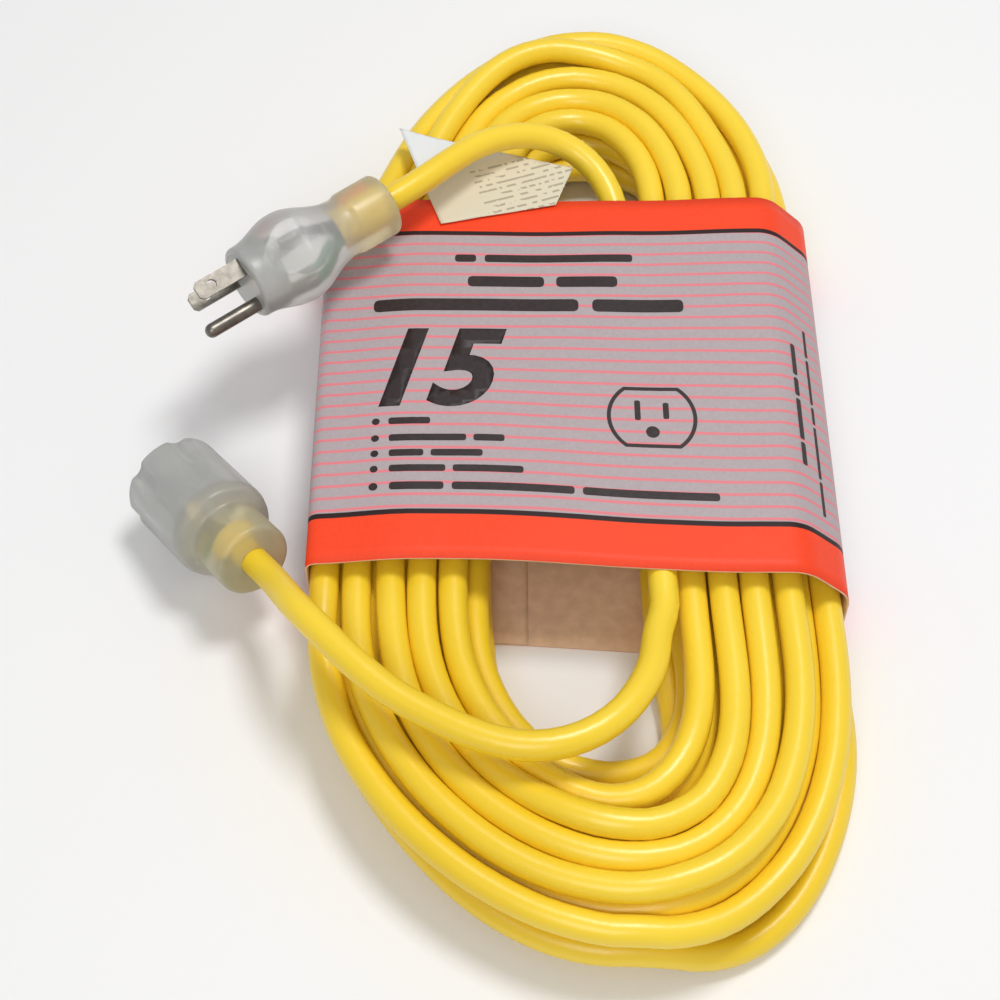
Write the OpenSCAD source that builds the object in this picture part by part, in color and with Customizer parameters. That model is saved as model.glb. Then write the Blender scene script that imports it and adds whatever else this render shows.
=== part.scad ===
// Grounded three-wire extension cord, wound as an oval hank in a card sleeve.
// The frame's origin is on the table under the middle of the sleeve: +X right across the
// hank, +Y along the hank, +Z up. The plug lies on the sleeve's far left corner, and the
// connector lies on the table at the left.

/* [Cord] */
// Diameter over the cord's jacket
cord_d = 9.3; // [8.8:0.1:9.6]
// Diameter over one conductor's insulation
wire_d = 3.2; // [2.8:0.1:3.3]
// Diameter of one conductor's copper
core_d = 1.9; // [1.6:0.1:2.1]
// Distance of each conductor from the cord's axis
wire_lay_r = 1.95; // [1.9:0.05:2.2]

/* [Hank] */
// Free space between neighbouring turns of one layer
turn_gap = 0.6; // [0.55:0.05:0.7]
// Free space between one layer and the next
layer_gap = 0.8; // [0.7:0.1:1]
// Half the width of the innermost turn, on the cord's axis
inner_half_w = 31.2; // [30.6:0.1:31.8]
// Depth of the innermost turn's round end
inner_end = 42; // [40:0.1:43.5]
// Half the length of the straight runs
run_half = 88; // [85:0.1:89]
// Middle of the hank, across
hank_x = 0; // [-0.4:0.1:0.4]
// Middle of the hank, along
hank_y = -10.5; // [-12:0.1:-9]
// Where the wound part of the cord stops, near the sleeve's near edge
hank_stop_y = -80; // [-82:0.5:-79]

/* [Card sleeve] */
// Thickness of the card
card_t = 0.6; // [0.4:0.05:0.7]
// Length of the sleeve along the hank
sleeve_len = 149; // [140:1:151]
// Middle of the sleeve, along
sleeve_y = 1.8; // [0:0.1:3]
// Free space between the hank and the card
sleeve_gap = 0.35; // [0.3:0.05:0.6]
// Radius inside the sleeve's three round folds
fold_r = 3; // [2:0.5:3]
// How far in from the right side the card starts to slope down
slope_w = 15; // [12:0.5:16]
// How far the slope drops
slope_h = 15; // [12:0.5:16]
// Width of the glued overlap
flap_w = 16; // [12:1:20]
// Thickness of the glue line
glue_t = 0.1; // [0.08:0.01:0.15]
// Bare margin round the glue
glue_margin = 2; // [1:0.5:4]

/* [Label] */
// Width of the flag label
label_w = 37; // [34:1:37]
// Depth of the flag label
label_h = 40; // [36:1:44]
// Thickness of the flag label
label_t = 0.25; // [0.2:0.05:0.4]

/* [Blades and pin] */
// Width of each flat blade
blade_w = 6.35; // [6.1:0.05:6.6]
// Thickness of each flat blade
blade_t = 1.5; // [1.4:0.05:1.65]
// Reach of the blades past the plug's face
blade_reach = 17.5; // [16:0.1:18.5]
// Distance between the two blades' middles
blade_pitch = 12.7; // [12.3:0.1:13.5]
// Diameter of the round ground pin
pin_d = 4.78; // [4.7:0.01:4.85]
// Reach of the ground pin past the plug's face
pin_reach = 20.6; // [19:0.1:21.5]
// Diameter of the ground pin's shank, inside the plug
pin_shank_d = 4; // [3.6:0.1:4.4]
// Distance from the blades' plane to the ground pin's axis
pin_drop = 11.9; // [11.7:0.1:12.1]
// Diameter of the hole near each blade's tip
blade_hole_d = 3.2; // [2.5:0.1:4]
// Distance of that hole from the blade's tip
blade_hole_in = 5.8; // [5:0.1:7]

/* [Plug] */
// Length of the plug's moulded body, from the cord's entry to the face
plug_len = 57; // [54:0.5:60]
// Length of the plug's collar
plug_collar_len = 14; // [12:0.5:16]
// Diameter of the plug's collar
plug_collar_d = 22; // [19:0.5:24]
// Diameter of the narrow neck behind the plug's grip
plug_neck_d = 20.6; // [19:0.2:22]
// Distance from the cord's entry to the neck
plug_neck_x = 17; // [16.5:0.5:19]
// Diameter at the plug's widest place
plug_grip_d = 32; // [29:0.5:33]
// Distance from the cord's entry to the widest place
plug_grip_x = 38; // [35:0.5:41]
// Width of the clear moulding round the insert, at the plug's face
plug_face_wall = 2.1; // [1.7:0.1:3.2]
// Thickness of the plug across its two flats
plug_flat_w = 25.6; // [22:0.2:28]
// Depth of the insert that holds the blades
bridge_len = 11; // [9:0.5:13]
// Width of the insert's rim outside its slots
insert_rim = 0.15; // [0.15:0.05:0.6]
// Length of jacket inside the plug
plug_jacket_len = 22; // [18:0.5:24]

/* [Connector] */
// Length of the connector, from the cord's entry to the face
conn_len = 54; // [51:0.5:57]
// Length of the connector's collar
conn_collar_len = 17; // [15:0.5:18]
// Diameter of the connector's collar
conn_collar_d = 24.5; // [22:0.5:26]
// Diameter of the connector's barrel
conn_head_d = 33.5; // [32.5:0.5:35]
// Number of flutes round the barrel's front
flute_count = 6; // [4:1:8]
// Radius of each flute
flute_r = 5; // [3:0.5:6]
// Depth of each flute
flute_depth = 1.4; // [0.8:0.1:2]
// Length of the flutes
flute_len = 15; // [8:1:20]
// Diameter of the insert that holds the contacts
carrier_d = 26; // [25:0.2:27.2]
// Depth of that insert
carrier_len = 28; // [26.5:0.5:29]
// Width of the blade slots
slot_w = 2.2; // [1.9:0.1:2.6]
// Height of the line slot
line_slot_h = 7; // [6.8:0.1:7.4]
// Height of the neutral slot
neutral_slot_h = 8.2; // [7.8:0.1:8.6]
// Diameter of the ground pin's socket
socket_d = 5.2; // [4.9:0.1:5.6]
// Thickness of the insert's face over the contacts
face_t = 3; // [2:0.2:4]
// Thickness of the contacts' spring leaves
leaf_t = 0.6; // [0.5:0.05:0.7]
// How much narrower than a blade or the pin each empty contact is
contact_grip = 0.2; // [0.1:0.05:0.3]
// Length of jacket inside the connector
conn_jacket_len = 13; // [11:0.5:13.5]

/* [Terminals] */
// Outside diameter of the crimped barrels
crimp_d = 3.9; // [3.6:0.1:4]
// Length of the crimped barrels
crimp_len = 6.5; // [5:0.5:7]
// Diameter of the neon lamp's glass
lamp_d = 4; // [3.5:0.1:4.2]
// Length of the neon lamp's glass
lamp_len = 11; // [9:0.5:13]
// Diameter of the lamp's resistor
resistor_d = 2.2; // [1.8:0.1:2.4]
// Length of the lamp's resistor
resistor_len = 4; // [3:0.5:4.5]
// Diameter of the lamp's leads
lamp_lead_d = 0.6; // [0.5:0.05:0.8]

/* [Hidden] */
$fn = 48;

jacket_colour = [0.93, 0.80, 0.16];
clear_colour = [0.78, 0.80, 0.80, 0.55];
insert_colour = [0.80, 0.80, 0.78];
brass_colour = [0.80, 0.66, 0.34];
plated_colour = [0.72, 0.73, 0.74];
copper_colour = [0.75, 0.42, 0.25];
card_colour = [0.86, 0.72, 0.72];
paper_colour = [0.93, 0.91, 0.84];

eps = 0.01;
// Play left round each moulded-in piece
mould_gap = 0.02;
// Free space between the connector and the table
table_gap = 0.2;

// ---- Hank ----
layers = 4;
turns_per_layer = 5;
hank_sides = 6;
run_steps = 4;
end_steps = 8;
cord_r = cord_d / 2;
// Height of a six-sided turn's middle over its flat underside
turn_rest_z = cord_r * cos(30);
turn_pitch = cord_d + turn_gap;
layer_step = cord_d + layer_gap;
// The winding starts in the middle of the right-hand run
tau_start = 1 / 8;
// The spiral turns back in the middle of the near end
turn_back = 3 / 8;
// It climbs to the next layer from here, over a quarter of a turn
climb_from = 1 / 4;
// The turns rise over the sleeve's back panel, and come down over this length past it
waist_lift = card_t + 0.7;
lift_half = 105;
lift_ramp = 25;

function clamp01(v) = min(1, max(0, v));

// How many turn pitches the cord lies outside the innermost turn, after tau turns
function turn_offset(tau) =
    let (u = (tau - turn_back) / turns_per_layer, n = min(layers - 1, max(0, floor(u))))
    n % 2 == 0 ? turns_per_layer * (u - n) : turns_per_layer * (1 - u + n);

// How many layers the cord has climbed, each round one near end
function climbed(tau, n) = clamp01((tau - n * turns_per_layer - climb_from) * 4);
function layers_climbed(tau) = climbed(tau, 1) + climbed(tau, 2) + climbed(tau, 3);

// ---- Sleeve's inside, and how far it pushes each layer in at the right ----
hank_top = 2 * turn_rest_z + layer_step * (layers - 1) + waist_lift;
sleeve_in_z = hank_top + sleeve_gap;
sleeve_top = sleeve_in_z + card_t;
// A layer's last run stops this share of a turn before the spiral turns back
run_before_back = turn_back - 1 / 4;
outer_turn = inner_half_w + turn_pitch * (turns_per_layer - run_before_back);
sleeve_in_x = abs(hank_x) + outer_turn + cord_r + sleeve_gap;
sleeve_out_x = sleeve_in_x + card_t;
slope_len = norm([slope_w, slope_h]);
// Furthest right that a turn's middle can lie at height z, under the slope
function under_slope(z) = sleeve_out_x - slope_w + (sleeve_top - z) * slope_w / slope_h
    - (cord_r + sleeve_gap + card_t) * slope_len / slope_h;
// The top layer starts on its first right-hand run, after the spiral has turned back
function outer_run(n) = hank_x + inner_half_w
    + turn_pitch * (turns_per_layer - (n == layers - 1 ? 1 - turn_back : run_before_back));
layer_leans = [
    for (n = [0 : layers - 1])
        max(0, outer_run(n) - under_slope(turn_rest_z + layer_step * n + waist_lift))
];
// The push starts on a left-hand run, where it has no effect, half a turn into each layer
function lean_at(tau) =
    layer_leans[min(layers - 1, max(0, floor((tau - 1 / 2) / turns_per_layer)))];

function waist_rise(y) = waist_lift * clamp01((lift_half + lift_ramp - abs(y)) / lift_ramp);

// Middle of the cord after tau turns: right run, near end, left run, far end
function hank_point(tau) =
    let (
        phase = 4 * (tau - floor(tau)),
        part = floor(phase),
        t = phase - part,
        out = turn_pitch * turn_offset(tau),
        a = inner_half_w + out,
        b = inner_end + out,
        lean = lean_at(tau),
        c = cos(180 * t),
        // Share of the push at this place of a round end: all at the right, none at the left.
        // At the near end it fades early, to leave room for the turn that climbs there.
        at_right = part == 1 ? pow((1 + c) / 2, 2) : (1 - c) / 2,
        xy = part == 0 ? [a - lean, run_half * (1 - 2 * t)]
            : part == 1 ? [a * c - lean * at_right, -run_half - b * sin(180 * t)]
            : part == 2 ? [-a, -run_half * (1 - 2 * t)]
            : [-a * c - lean * at_right, run_half + b * sin(180 * t)],
        y = hank_y + xy[1]
    )
    [hank_x + xy[0], y, turn_rest_z + layer_step * layers_climbed(tau) + waist_rise(y)];

turn_phases = [
    for (i = [0 : run_steps - 1]) i / run_steps / 4,
    for (i = [0 : end_steps - 1]) 0.25 + i / end_steps / 4,
    for (i = [0 : run_steps - 1]) 0.5 + i / run_steps / 4,
    for (i = [0 : end_steps - 1]) 0.75 + i / end_steps / 4
];
hank_turns = layers * turns_per_layer;
tau_stop = hank_turns + (1 - (hank_stop_y - hank_y) / run_half) / 8;
hank_taus = [
    for (n = [0 : hank_turns]) for (p = turn_phases)
        if (n + p > tau_start - eps && n + p < tau_stop - 0.02) n + p
];
hank_path = [for (tau = concat(hank_taus, [tau_stop])) hank_point(tau)];
hank_in = hank_path[0];
hank_out = hank_path[len(hank_path) - 1];

// ---- Places of the plug and the connector ----
plug_at = [-63.8, 58.8, 57];
plug_yaw = 219;
plug_roll = 61.8;
conn_yaw = 127.5;
conn_roll = 20;
// The connector's face tips down on to the table
conn_tip = 16;
conn_edge = 1.8;
conn_at_z = table_gap + conn_edge + (conn_head_d / 2 - conn_edge) * cos(conn_tip)
    + (conn_len - conn_edge) * sin(conn_tip);
conn_at = [-101.1, -68.6, conn_at_z];
plug_back = [-cos(plug_yaw), -sin(plug_yaw), 0];
conn_back = [-cos(conn_yaw) * cos(conn_tip), -sin(conn_yaw) * cos(conn_tip), sin(conn_tip)];

// ---- Leads ----
lead_sides = 10;
plug_lead_points = [
    plug_at,
    plug_at + cord_d * plug_back,
    [-47.9, 73, 56.5], [-39.8, 81.9, 55.2], [-31.4, 90.4, 53.2], [-21.9, 97.2, 50.3],
    [-11.1, 101.1, 46.6], [0, 100.3, 42.1], [9.3, 94.5, 37.4], [15.2, 84.9, 33.1],
    [17.6, 73.8, 29.3], [18.2, 60, 24.4],
    [18.8, 45, 18.3], [20.2, 30.5, 12.4], [22.8, 17.5, 8], [26.5, 7, 5.9],
    hank_in + [0, cord_d, 0],
    hank_in
];
connector_lead_points = [
    hank_out,
    hank_out - [0, cord_d, 0],
    [22.8, -99, 37.5], [21, -110, 40.3], [17, -120, 42.8], [10.5, -129.5, 44.5],
    [1.5, -136.5, 45.3], [-9, -140.3, 45.8], [-20, -140.5, 45.8], [-32, -137, 45.8],
    [-45, -130.5, 45.8], [-56.8, -123.2, 46.3], [-67.6, -113.9, 47], [-74.6, -106.6, 47],
    [-81, -99.1, 46], [-86.5, -91.7, 43], [-91, -83.7, 38],
    conn_at + cord_d * conn_back,
    conn_at
];

// Curve through points p, with n steps between neighbours
function spline_at(p0, p1, p2, p3, t) = 0.5 * (2 * p1 + (p2 - p0) * t
    + (2 * p0 - 5 * p1 + 4 * p2 - p3) * t * t + (3 * p1 - p0 - 3 * p2 + p3) * t * t * t);
// The first and last stretches stay straight
function spline(p, n) = let (last = len(p) - 1) [
    p[0],
    for (i = [1 : last - 2]) for (j = [0 : n - 1])
        spline_at(p[i - 1], p[i], p[i + 1], p[i + 2], j / n),
    p[last - 1],
    p[last]
];
plug_lead_path = spline(plug_lead_points, 2);
connector_lead_path = spline(connector_lead_points, 2);

// ---- Round tube along a path ----
function unit(v) = v / norm(v);
function path_dir(path, i) = unit(
    i == 0 ? path[1] - path[0]
    : i == len(path) - 1 ? path[i] - path[i - 1]
    : unit(path[i + 1] - path[i]) + unit(path[i] - path[i - 1]));
function ring_at(c, dir, r, sides) =
    let (side = unit(cross(dir, [0, 0, 1])), up = cross(side, dir))
    [for (k = [0 : sides - 1]) c + r * cos(360 * k / sides) * side + r * sin(360 * k / sides) * up];

// dir_in and dir_out square the two end faces to what they meet
module tube(path, d, sides, dir_in, dir_out) {
    last = len(path) - 1;
    points = [
        for (i = [0 : last])
            each ring_at(path[i], i == 0 ? dir_in : i == last ? dir_out : path_dir(path, i),
                         d / 2, sides)
    ];
    walls = [
        for (i = [0 : last - 1]) for (k = [0 : sides - 1])
            let (a = i * sides + k, b = i * sides + (k + 1) % sides)
            each [[a, b, b + sides], [a, b + sides, a + sides]]
    ];
    start_cap = [for (k = [1 : sides - 2]) [0, k + 1, k]];
    end_cap = [for (k = [1 : sides - 2]) [last * sides, last * sides + k, last * sides + k + 1]];
    polyhedron(points = points, faces = concat(walls, start_cap, end_cap), convexity = 10);
}

// ---- Least gaps and length, measured on the paths' own points ----
function path_len(p) = let (steps = [for (i = [1 : len(p) - 1]) norm(p[i] - p[i - 1])])
    steps * [for (s = steps) 1];
function midpoints(p) = [for (i = [1 : len(p) - 1]) (p[i] + p[i - 1]) / 2];
function least_between(p, q) = min([for (a = p) min([for (b = q) norm(a - b)])]);
// Half a turn apart along the hank counts as another turn
half_turn = len(turn_phases) / 2;
function least_in(p) = min([
    for (i = [0 : len(p) - half_turn - 1])
        min([for (j = [i + half_turn : len(p) - 1]) norm(p[i] - p[j])])
]);
module report_gaps() {
    fine_hank = concat(hank_path, midpoints(hank_path));
    // The first rings of the leads belong to the joint with the hank
    plug_part = [for (i = [0 : len(plug_lead_path) - 4]) plug_lead_path[i]];
    connector_part = [for (i = [3 : len(connector_lead_path) - 1]) connector_lead_path[i]];
    echo(hank_least_gap = least_in(hank_path) - cord_d);
    echo(plug_lead_gap = least_between(plug_part, fine_hank) - cord_d);
    echo(connector_lead_gap = least_between(connector_part, fine_hank) - cord_d);
    echo(cord_length = path_len(hank_path) + path_len(plug_lead_path)
        + path_len(connector_lead_path) + plug_jacket_len + conn_jacket_len);
    echo(hank_start = hank_in, hank_end = hank_out);
}

module cord_hank() {
    color(jacket_colour) tube(hank_path, cord_d, hank_sides, [0, -1, 0], [0, -1, 0]);
}
module plug_lead() {
    color(jacket_colour) tube(plug_lead_path, cord_d, lead_sides, plug_back, [0, -1, 0]);
}
module connector_lead() {
    color(jacket_colour) tube(connector_lead_path, cord_d, lead_sides, [0, -1, 0], -conn_back);
}

// ---- Card sleeve ----
flap_x0 = -31.5;
flap_z = card_t + glue_t;

// Rounded rectangle of arcs and flats, from plain squares and circles
module round_rect(half_w, z0, z1, r) {
    translate([-half_w + r, z0]) square([2 * (half_w - r), z1 - z0]);
    translate([-half_w, z0 + r]) square([2 * half_w, z1 - z0 - 2 * r]);
    for (x = [-half_w + r, half_w - r]) for (z = [z0 + r, z1 - r])
        translate([x, z]) circle(r);
}
module along_y(y0, length) {
    translate([0, y0 + length, 0]) rotate([90, 0, 0]) linear_extrude(length) children();
}
// What the slope cuts off the corner, moved in by the card's thickness for its inner face
module slope_cut(thick) {
    past = 2;
    run = past * slope_w / slope_len;
    drop = past * slope_h / slope_len;
    top = [sleeve_out_x - slope_w - run, sleeve_top + drop];
    side = [sleeve_out_x + run, sleeve_top - slope_h - drop];
    translate(-thick / slope_len * [slope_h, slope_w])
        polygon([top, side, [side[0], top[1]]]);
}
module card_sleeve() {
    color(card_colour) along_y(sleeve_y - sleeve_len / 2, sleeve_len) {
        difference() {
            round_rect(sleeve_out_x, 0, sleeve_top, fold_r + card_t);
            slope_cut(0);
            difference() {
                round_rect(sleeve_in_x, card_t, sleeve_in_z, fold_r);
                slope_cut(card_t);
            }
            translate([flap_x0 - 2 * card_t, -eps]) square([card_t, card_t + 2 * eps]);
        }
        // The overlap steps up over the other end of the card
        translate([flap_x0 - 4 * card_t, card_t / 2]) square([2 * card_t, flap_z + card_t / 2]);
        translate([flap_x0 - 3 * card_t, flap_z]) square([flap_w + 3 * card_t, card_t]);
    }
}
module sleeve_glue() {
    color("#d8c9a0")
        translate([flap_x0, sleeve_y - sleeve_len / 2 + glue_margin, card_t])
            cube([flap_w - glue_margin, sleeve_len - 2 * glue_margin, glue_t]);
}

// ---- Flag label, stuck under the plug's lead ----
label_at = [-43.8, 64.7, sleeve_top + 0.45];
label_yaw = 19;
module cord_label() {
    color(paper_colour) translate(label_at) rotate(label_yaw)
        cube([label_w, label_h, label_t]);
}

// ---- Plug and connector, each along its own X axis from the cord's entry ----
module in_plug() {
    translate(plug_at) rotate([plug_roll, 0, plug_yaw]) children();
}
module in_connector() {
    translate(conn_at) rotate([conn_roll, conn_tip, conn_yaw]) children();
}
module x_cylinder(x0, x1, d) {
    translate([x0, 0, 0]) rotate([0, 90, 0]) cylinder(h = x1 - x0, d = d);
}
// Outline points (x along the axis, r out from it) turned round the X axis
module x_turned(outline) {
    rotate([90, 0, 90]) rotate_extrude() polygon([for (p = outline) [p[1], p[0]]]);
}
// Smooth step of radius between two places along the axis
function blend(x0, r0, x1, r1, n) = [
    for (i = [0 : n]) [x0 + (x1 - x0) * i / n, r0 + (r1 - r0) * (1 - cos(180 * i / n)) / 2]
];
// Quarter round of radius e: from the end face x to the side at radius r
function round_edge(x, r, e, way, n) = [
    for (i = [0 : n]) let (a = 90 * i / n) [x + way * e * (1 - cos(a)), r - e * (1 - sin(a))]
];

// Outline of a moulding's hollow: insert seat, chamber for the conductors, jacket bore
jacket_bore_r = cord_r + mould_gap;
function hollow_outline(face_x, insert_x, insert_r, chamber_r, cone_x, jacket_x) = [
    [face_x, insert_r + mould_gap], [insert_x - mould_gap, insert_r + mould_gap],
    [insert_x - mould_gap, chamber_r], [cone_x, chamber_r],
    [jacket_x, jacket_bore_r], [0, jacket_bore_r]
];

// Terminal places in the YZ plane, blades above and pin below the axis
blade_z = 4.2;
line_yz = [blade_pitch / 2, blade_z];
neutral_yz = [-blade_pitch / 2, blade_z];
ground_yz = [0, blade_z - pin_drop];
function lay_yz(angle) = wire_lay_r * [cos(angle), sin(angle)];
line_lay = lay_yz(30);
neutral_lay = lay_yz(150);
ground_lay = lay_yz(270);
plug_wires = [[line_lay, line_yz], [neutral_lay, neutral_yz], [ground_lay, ground_yz]];

module at_yz(yz) {
    translate([0, yz[0], yz[1]]) children();
}
// Straight round bar between two points
module bar(p, q, d) {
    v = q - p;
    translate(p) rotate([0, acos(v[2] / norm(v)), atan2(v[1], v[0])]) cylinder(h = norm(v), d = d);
}
// Conductor's path: straight in the jacket, curving out to its crimp, straight again
wire_steps = 5;
function wire_path(w, x_jacket, x_crimp) = let (
        straight = 0.6,
        x0 = x_jacket + straight,
        x1 = x_crimp - straight
    ) [
        [0, w[0][0], w[0][1]],
        for (i = [0 : wire_steps])
            let (t = i / wire_steps, yz = w[0] + (w[1] - w[0]) * (1 - cos(180 * t)) / 2)
            [x0 + (x1 - x0) * t, yz[0], yz[1]],
        [x_crimp, w[1][0], w[1][1]]
    ];
module wire_tube(path, d, sides) {
    tube(path, d, sides, [1, 0, 0], [1, 0, 0]);
}
module crimp_barrel(yz, x0, x1) {
    at_yz(yz) difference() {
        x_cylinder(x0, x1, crimp_d);
        x_cylinder(x0 - eps, x0 + crimp_len, core_d + 2 * mould_gap);
    }
}

// ---- Plug ----
slot_half_t = blade_t / 2 + mould_gap;
slot_half_w = blade_w / 2 + mould_gap;
slot_reach = norm([blade_pitch / 2 + slot_half_t, blade_z + slot_half_w]);
shank_reach = pin_drop - blade_z + pin_shank_d / 2 + mould_gap;
bridge_d = 2 * (max(slot_reach, shank_reach) + insert_rim);
plug_face_d = bridge_d + 2 * plug_face_wall;
bridge_x = plug_len - bridge_len;
// The crimps end this far behind the insert
tail_len = 3.5;
plug_tail_x = bridge_x - tail_len;
plug_crimp_x = plug_tail_x - crimp_len;
// The insert seats on the step where the chamber behind it is this much narrower
seat_step = 0.1;
plug_chamber_r = bridge_d / 2 - seat_step;
plug_edge = 1.6;
plug_outline = concat(
    round_edge(0, plug_collar_d / 2, plug_edge, 1, 6),
    blend(plug_collar_len, plug_collar_d / 2, plug_neck_x, plug_neck_d / 2, 3),
    blend(plug_neck_x + 1, plug_neck_d / 2, plug_grip_x, plug_grip_d / 2, 9),
    blend(plug_grip_x + 1, plug_grip_d / 2, plug_len - plug_edge - 1, plug_face_d / 2, 7),
    [for (i = [6 : -1 : 0]) round_edge(plug_len, plug_face_d / 2, plug_edge, -1, 6)[i]],
    hollow_outline(plug_len, bridge_x, bridge_d / 2, plug_chamber_r, plug_crimp_x - 2, plug_jacket_len)
);
module plug_body() {
    color(clear_colour) in_plug() intersection() {
        x_turned(plug_outline);
        translate([-1, -plug_flat_w / 2, -plug_grip_d])
            cube([plug_len + 2, plug_flat_w, 2 * plug_grip_d]);
    }
}
module plug_bridge() {
    color(insert_colour) in_plug() difference() {
        x_cylinder(bridge_x, plug_len, bridge_d);
        for (yz = [line_yz, neutral_yz]) at_yz(yz)
            translate([bridge_x - 1, -slot_half_t, -slot_half_w])
                cube([bridge_len + 2, 2 * slot_half_t, 2 * slot_half_w]);
        at_yz(ground_yz) x_cylinder(bridge_x - 1, plug_len + 1, pin_shank_d + 2 * mould_gap);
    }
}
blade_tip = plug_len + blade_reach;
// Blade outline in the XZ plane, with its two tip corners cut
module blade_outline() {
    tip_cut = blade_w / 5;
    polygon([
        [plug_tail_x, -blade_w / 2], [blade_tip - tip_cut, -blade_w / 2],
        [blade_tip, -blade_w / 2 + tip_cut], [blade_tip, blade_w / 2 - tip_cut],
        [blade_tip - tip_cut, blade_w / 2], [plug_tail_x, blade_w / 2]
    ]);
}
module blade(yz) {
    crimp_barrel(yz, plug_crimp_x, plug_tail_x + eps);
    at_yz(yz) difference() {
        translate([0, blade_t / 2, 0]) rotate([90, 0, 0]) linear_extrude(blade_t) blade_outline();
        translate([blade_tip - blade_hole_in, blade_t, 0]) rotate([90, 0, 0])
            cylinder(h = 2 * blade_t, d = blade_hole_d);
    }
}
module plug_line_blade() {
    color(plated_colour) in_plug() blade(line_yz);
}
module plug_neutral_blade() {
    color(plated_colour) in_plug() blade(neutral_yz);
}
module plug_ground_pin() {
    pin_end = plug_len + pin_reach - pin_d / 2;
    color(plated_colour) in_plug() {
        crimp_barrel(ground_yz, plug_crimp_x, plug_tail_x + eps);
        at_yz(ground_yz) {
            x_cylinder(plug_tail_x, plug_len + 2 * mould_gap, pin_shank_d);
            x_cylinder(plug_len + mould_gap, pin_end, pin_d);
            translate([pin_end, 0, 0]) sphere(d = pin_d);
        }
    }
}
// One conductor's insulation, hollow for its core
wire_sides = 8;
core_sides = 6;
module insulation(w, x_jacket, x_crimp) {
    path = wire_path(w, x_jacket, x_crimp);
    bore_path = concat([path[0] - [1, 0, 0]], path, [path[len(path) - 1] + [1, 0, 0]]);
    difference() {
        wire_tube(path, wire_d, wire_sides);
        wire_tube(bore_path, core_d + 2 * mould_gap, core_sides);
    }
}
module plug_line_wire() {
    color("#2b2b2b") in_plug() insulation(plug_wires[0], plug_jacket_len, plug_crimp_x);
}
module plug_neutral_wire() {
    color("#e8e8e4") in_plug() insulation(plug_wires[1], plug_jacket_len, plug_crimp_x);
}
module plug_ground_wire() {
    color("#2f8f4e") in_plug() insulation(plug_wires[2], plug_jacket_len, plug_crimp_x);
}
// The copper of all three conductors, each reaching into its crimp
module wire_cores(wires, x_jacket, x_crimp) {
    for (w = wires) {
        path = wire_path(w, x_jacket, x_crimp);
        in_crimp = path[len(path) - 1] + [crimp_len - 0.5, 0, 0];
        wire_tube(concat(path, [in_crimp]), core_d, core_sides);
    }
}
module plug_wire_cores() {
    color(copper_colour) in_plug() wire_cores(plug_wires, plug_jacket_len, plug_crimp_x);
}
// Jacket inside a moulding, with a bore for each conductor
module jacket_end(length) {
    difference() {
        x_cylinder(0, length, cord_d);
        for (lay = [line_lay, neutral_lay, ground_lay])
            at_yz(lay) x_cylinder(-eps, length + eps, wire_d + 2 * mould_gap);
    }
}
module plug_jacket_end() {
    color(jacket_colour) in_plug() jacket_end(plug_jacket_len);
}

// ---- Connector ----
carrier_x = conn_len - carrier_len;
// The contacts start this far inside the insert, and their crimps end there
contact_inset = 0.5;
conn_tail_x = carrier_x + contact_inset;
conn_crimp_x = conn_tail_x - crimp_len;
// The connector's crimps sit closer to its axis than its contacts
crimp_in = 0.72;
line_crimp = crimp_in * line_yz;
neutral_crimp = crimp_in * neutral_yz;
ground_crimp = crimp_in * ground_yz;
conn_wires = [[line_lay, line_crimp], [neutral_lay, neutral_crimp], [ground_lay, ground_crimp]];
leaf_len = conn_len - face_t - conn_tail_x - 1;
chamber_y = 4.6;
chamber_z = 8.8;
ground_chamber_d = 7.6;
lamp_z = 7.6;
conn_chamber_r = lamp_z + resistor_d / 2 + 0.8;
lamp_x = carrier_x + 0.6;
resistor_x = carrier_x - 1 - resistor_len;
conn_outline = concat(
    round_edge(0, conn_collar_d / 2, conn_edge, 1, 6),
    blend(conn_collar_len - 1, conn_collar_d / 2, conn_collar_len + 2.5, conn_head_d / 2 - 0.6, 5),
    [[conn_collar_len + 4.5, conn_head_d / 2]],
    [for (i = [6 : -1 : 0]) round_edge(conn_len, conn_head_d / 2, conn_edge, -1, 6)[i]],
    hollow_outline(conn_len, carrier_x, carrier_d / 2, conn_chamber_r, conn_jacket_len + 3,
        conn_jacket_len)
);
// Three thin wires that join the lamp and its resistor across the line and neutral crimps
module lamp_lead_shape(d) {
    drop_x = resistor_x - 0.6;
    lead_x = lamp_x - 1.6;
    side_y = -lamp_d / 2 + d / 2 + 0.2;
    over_crimp = crimp_d / 2 + d / 2;
    // Lamp to resistor
    at_yz([0, lamp_z]) x_cylinder(resistor_x + resistor_len, lamp_x, d);
    // Resistor to the line crimp
    at_yz([0, lamp_z]) x_cylinder(drop_x, resistor_x, d);
    translate([drop_x, 0, lamp_z]) sphere(d = d);
    bar([drop_x, 0, lamp_z], [drop_x, line_crimp[0], line_crimp[1] + over_crimp], d);
    // Lamp's other side to the neutral crimp
    at_yz([side_y, lamp_z]) x_cylinder(lead_x, lamp_x, d);
    translate([lead_x, side_y, lamp_z]) sphere(d = d);
    bar([lead_x, side_y, lamp_z], [lead_x, neutral_crimp[0], neutral_crimp[1] + over_crimp], d);
}
module connector_body() {
    color(clear_colour) in_connector() difference() {
        x_turned(conn_outline);
        for (i = [0 : flute_count - 1]) rotate([360 / flute_count * i, 0, 0])
            translate([0, 0, conn_head_d / 2 + flute_r - flute_depth])
                x_cylinder(conn_len - flute_len, conn_len + 1, 2 * flute_r);
    }
}
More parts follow.
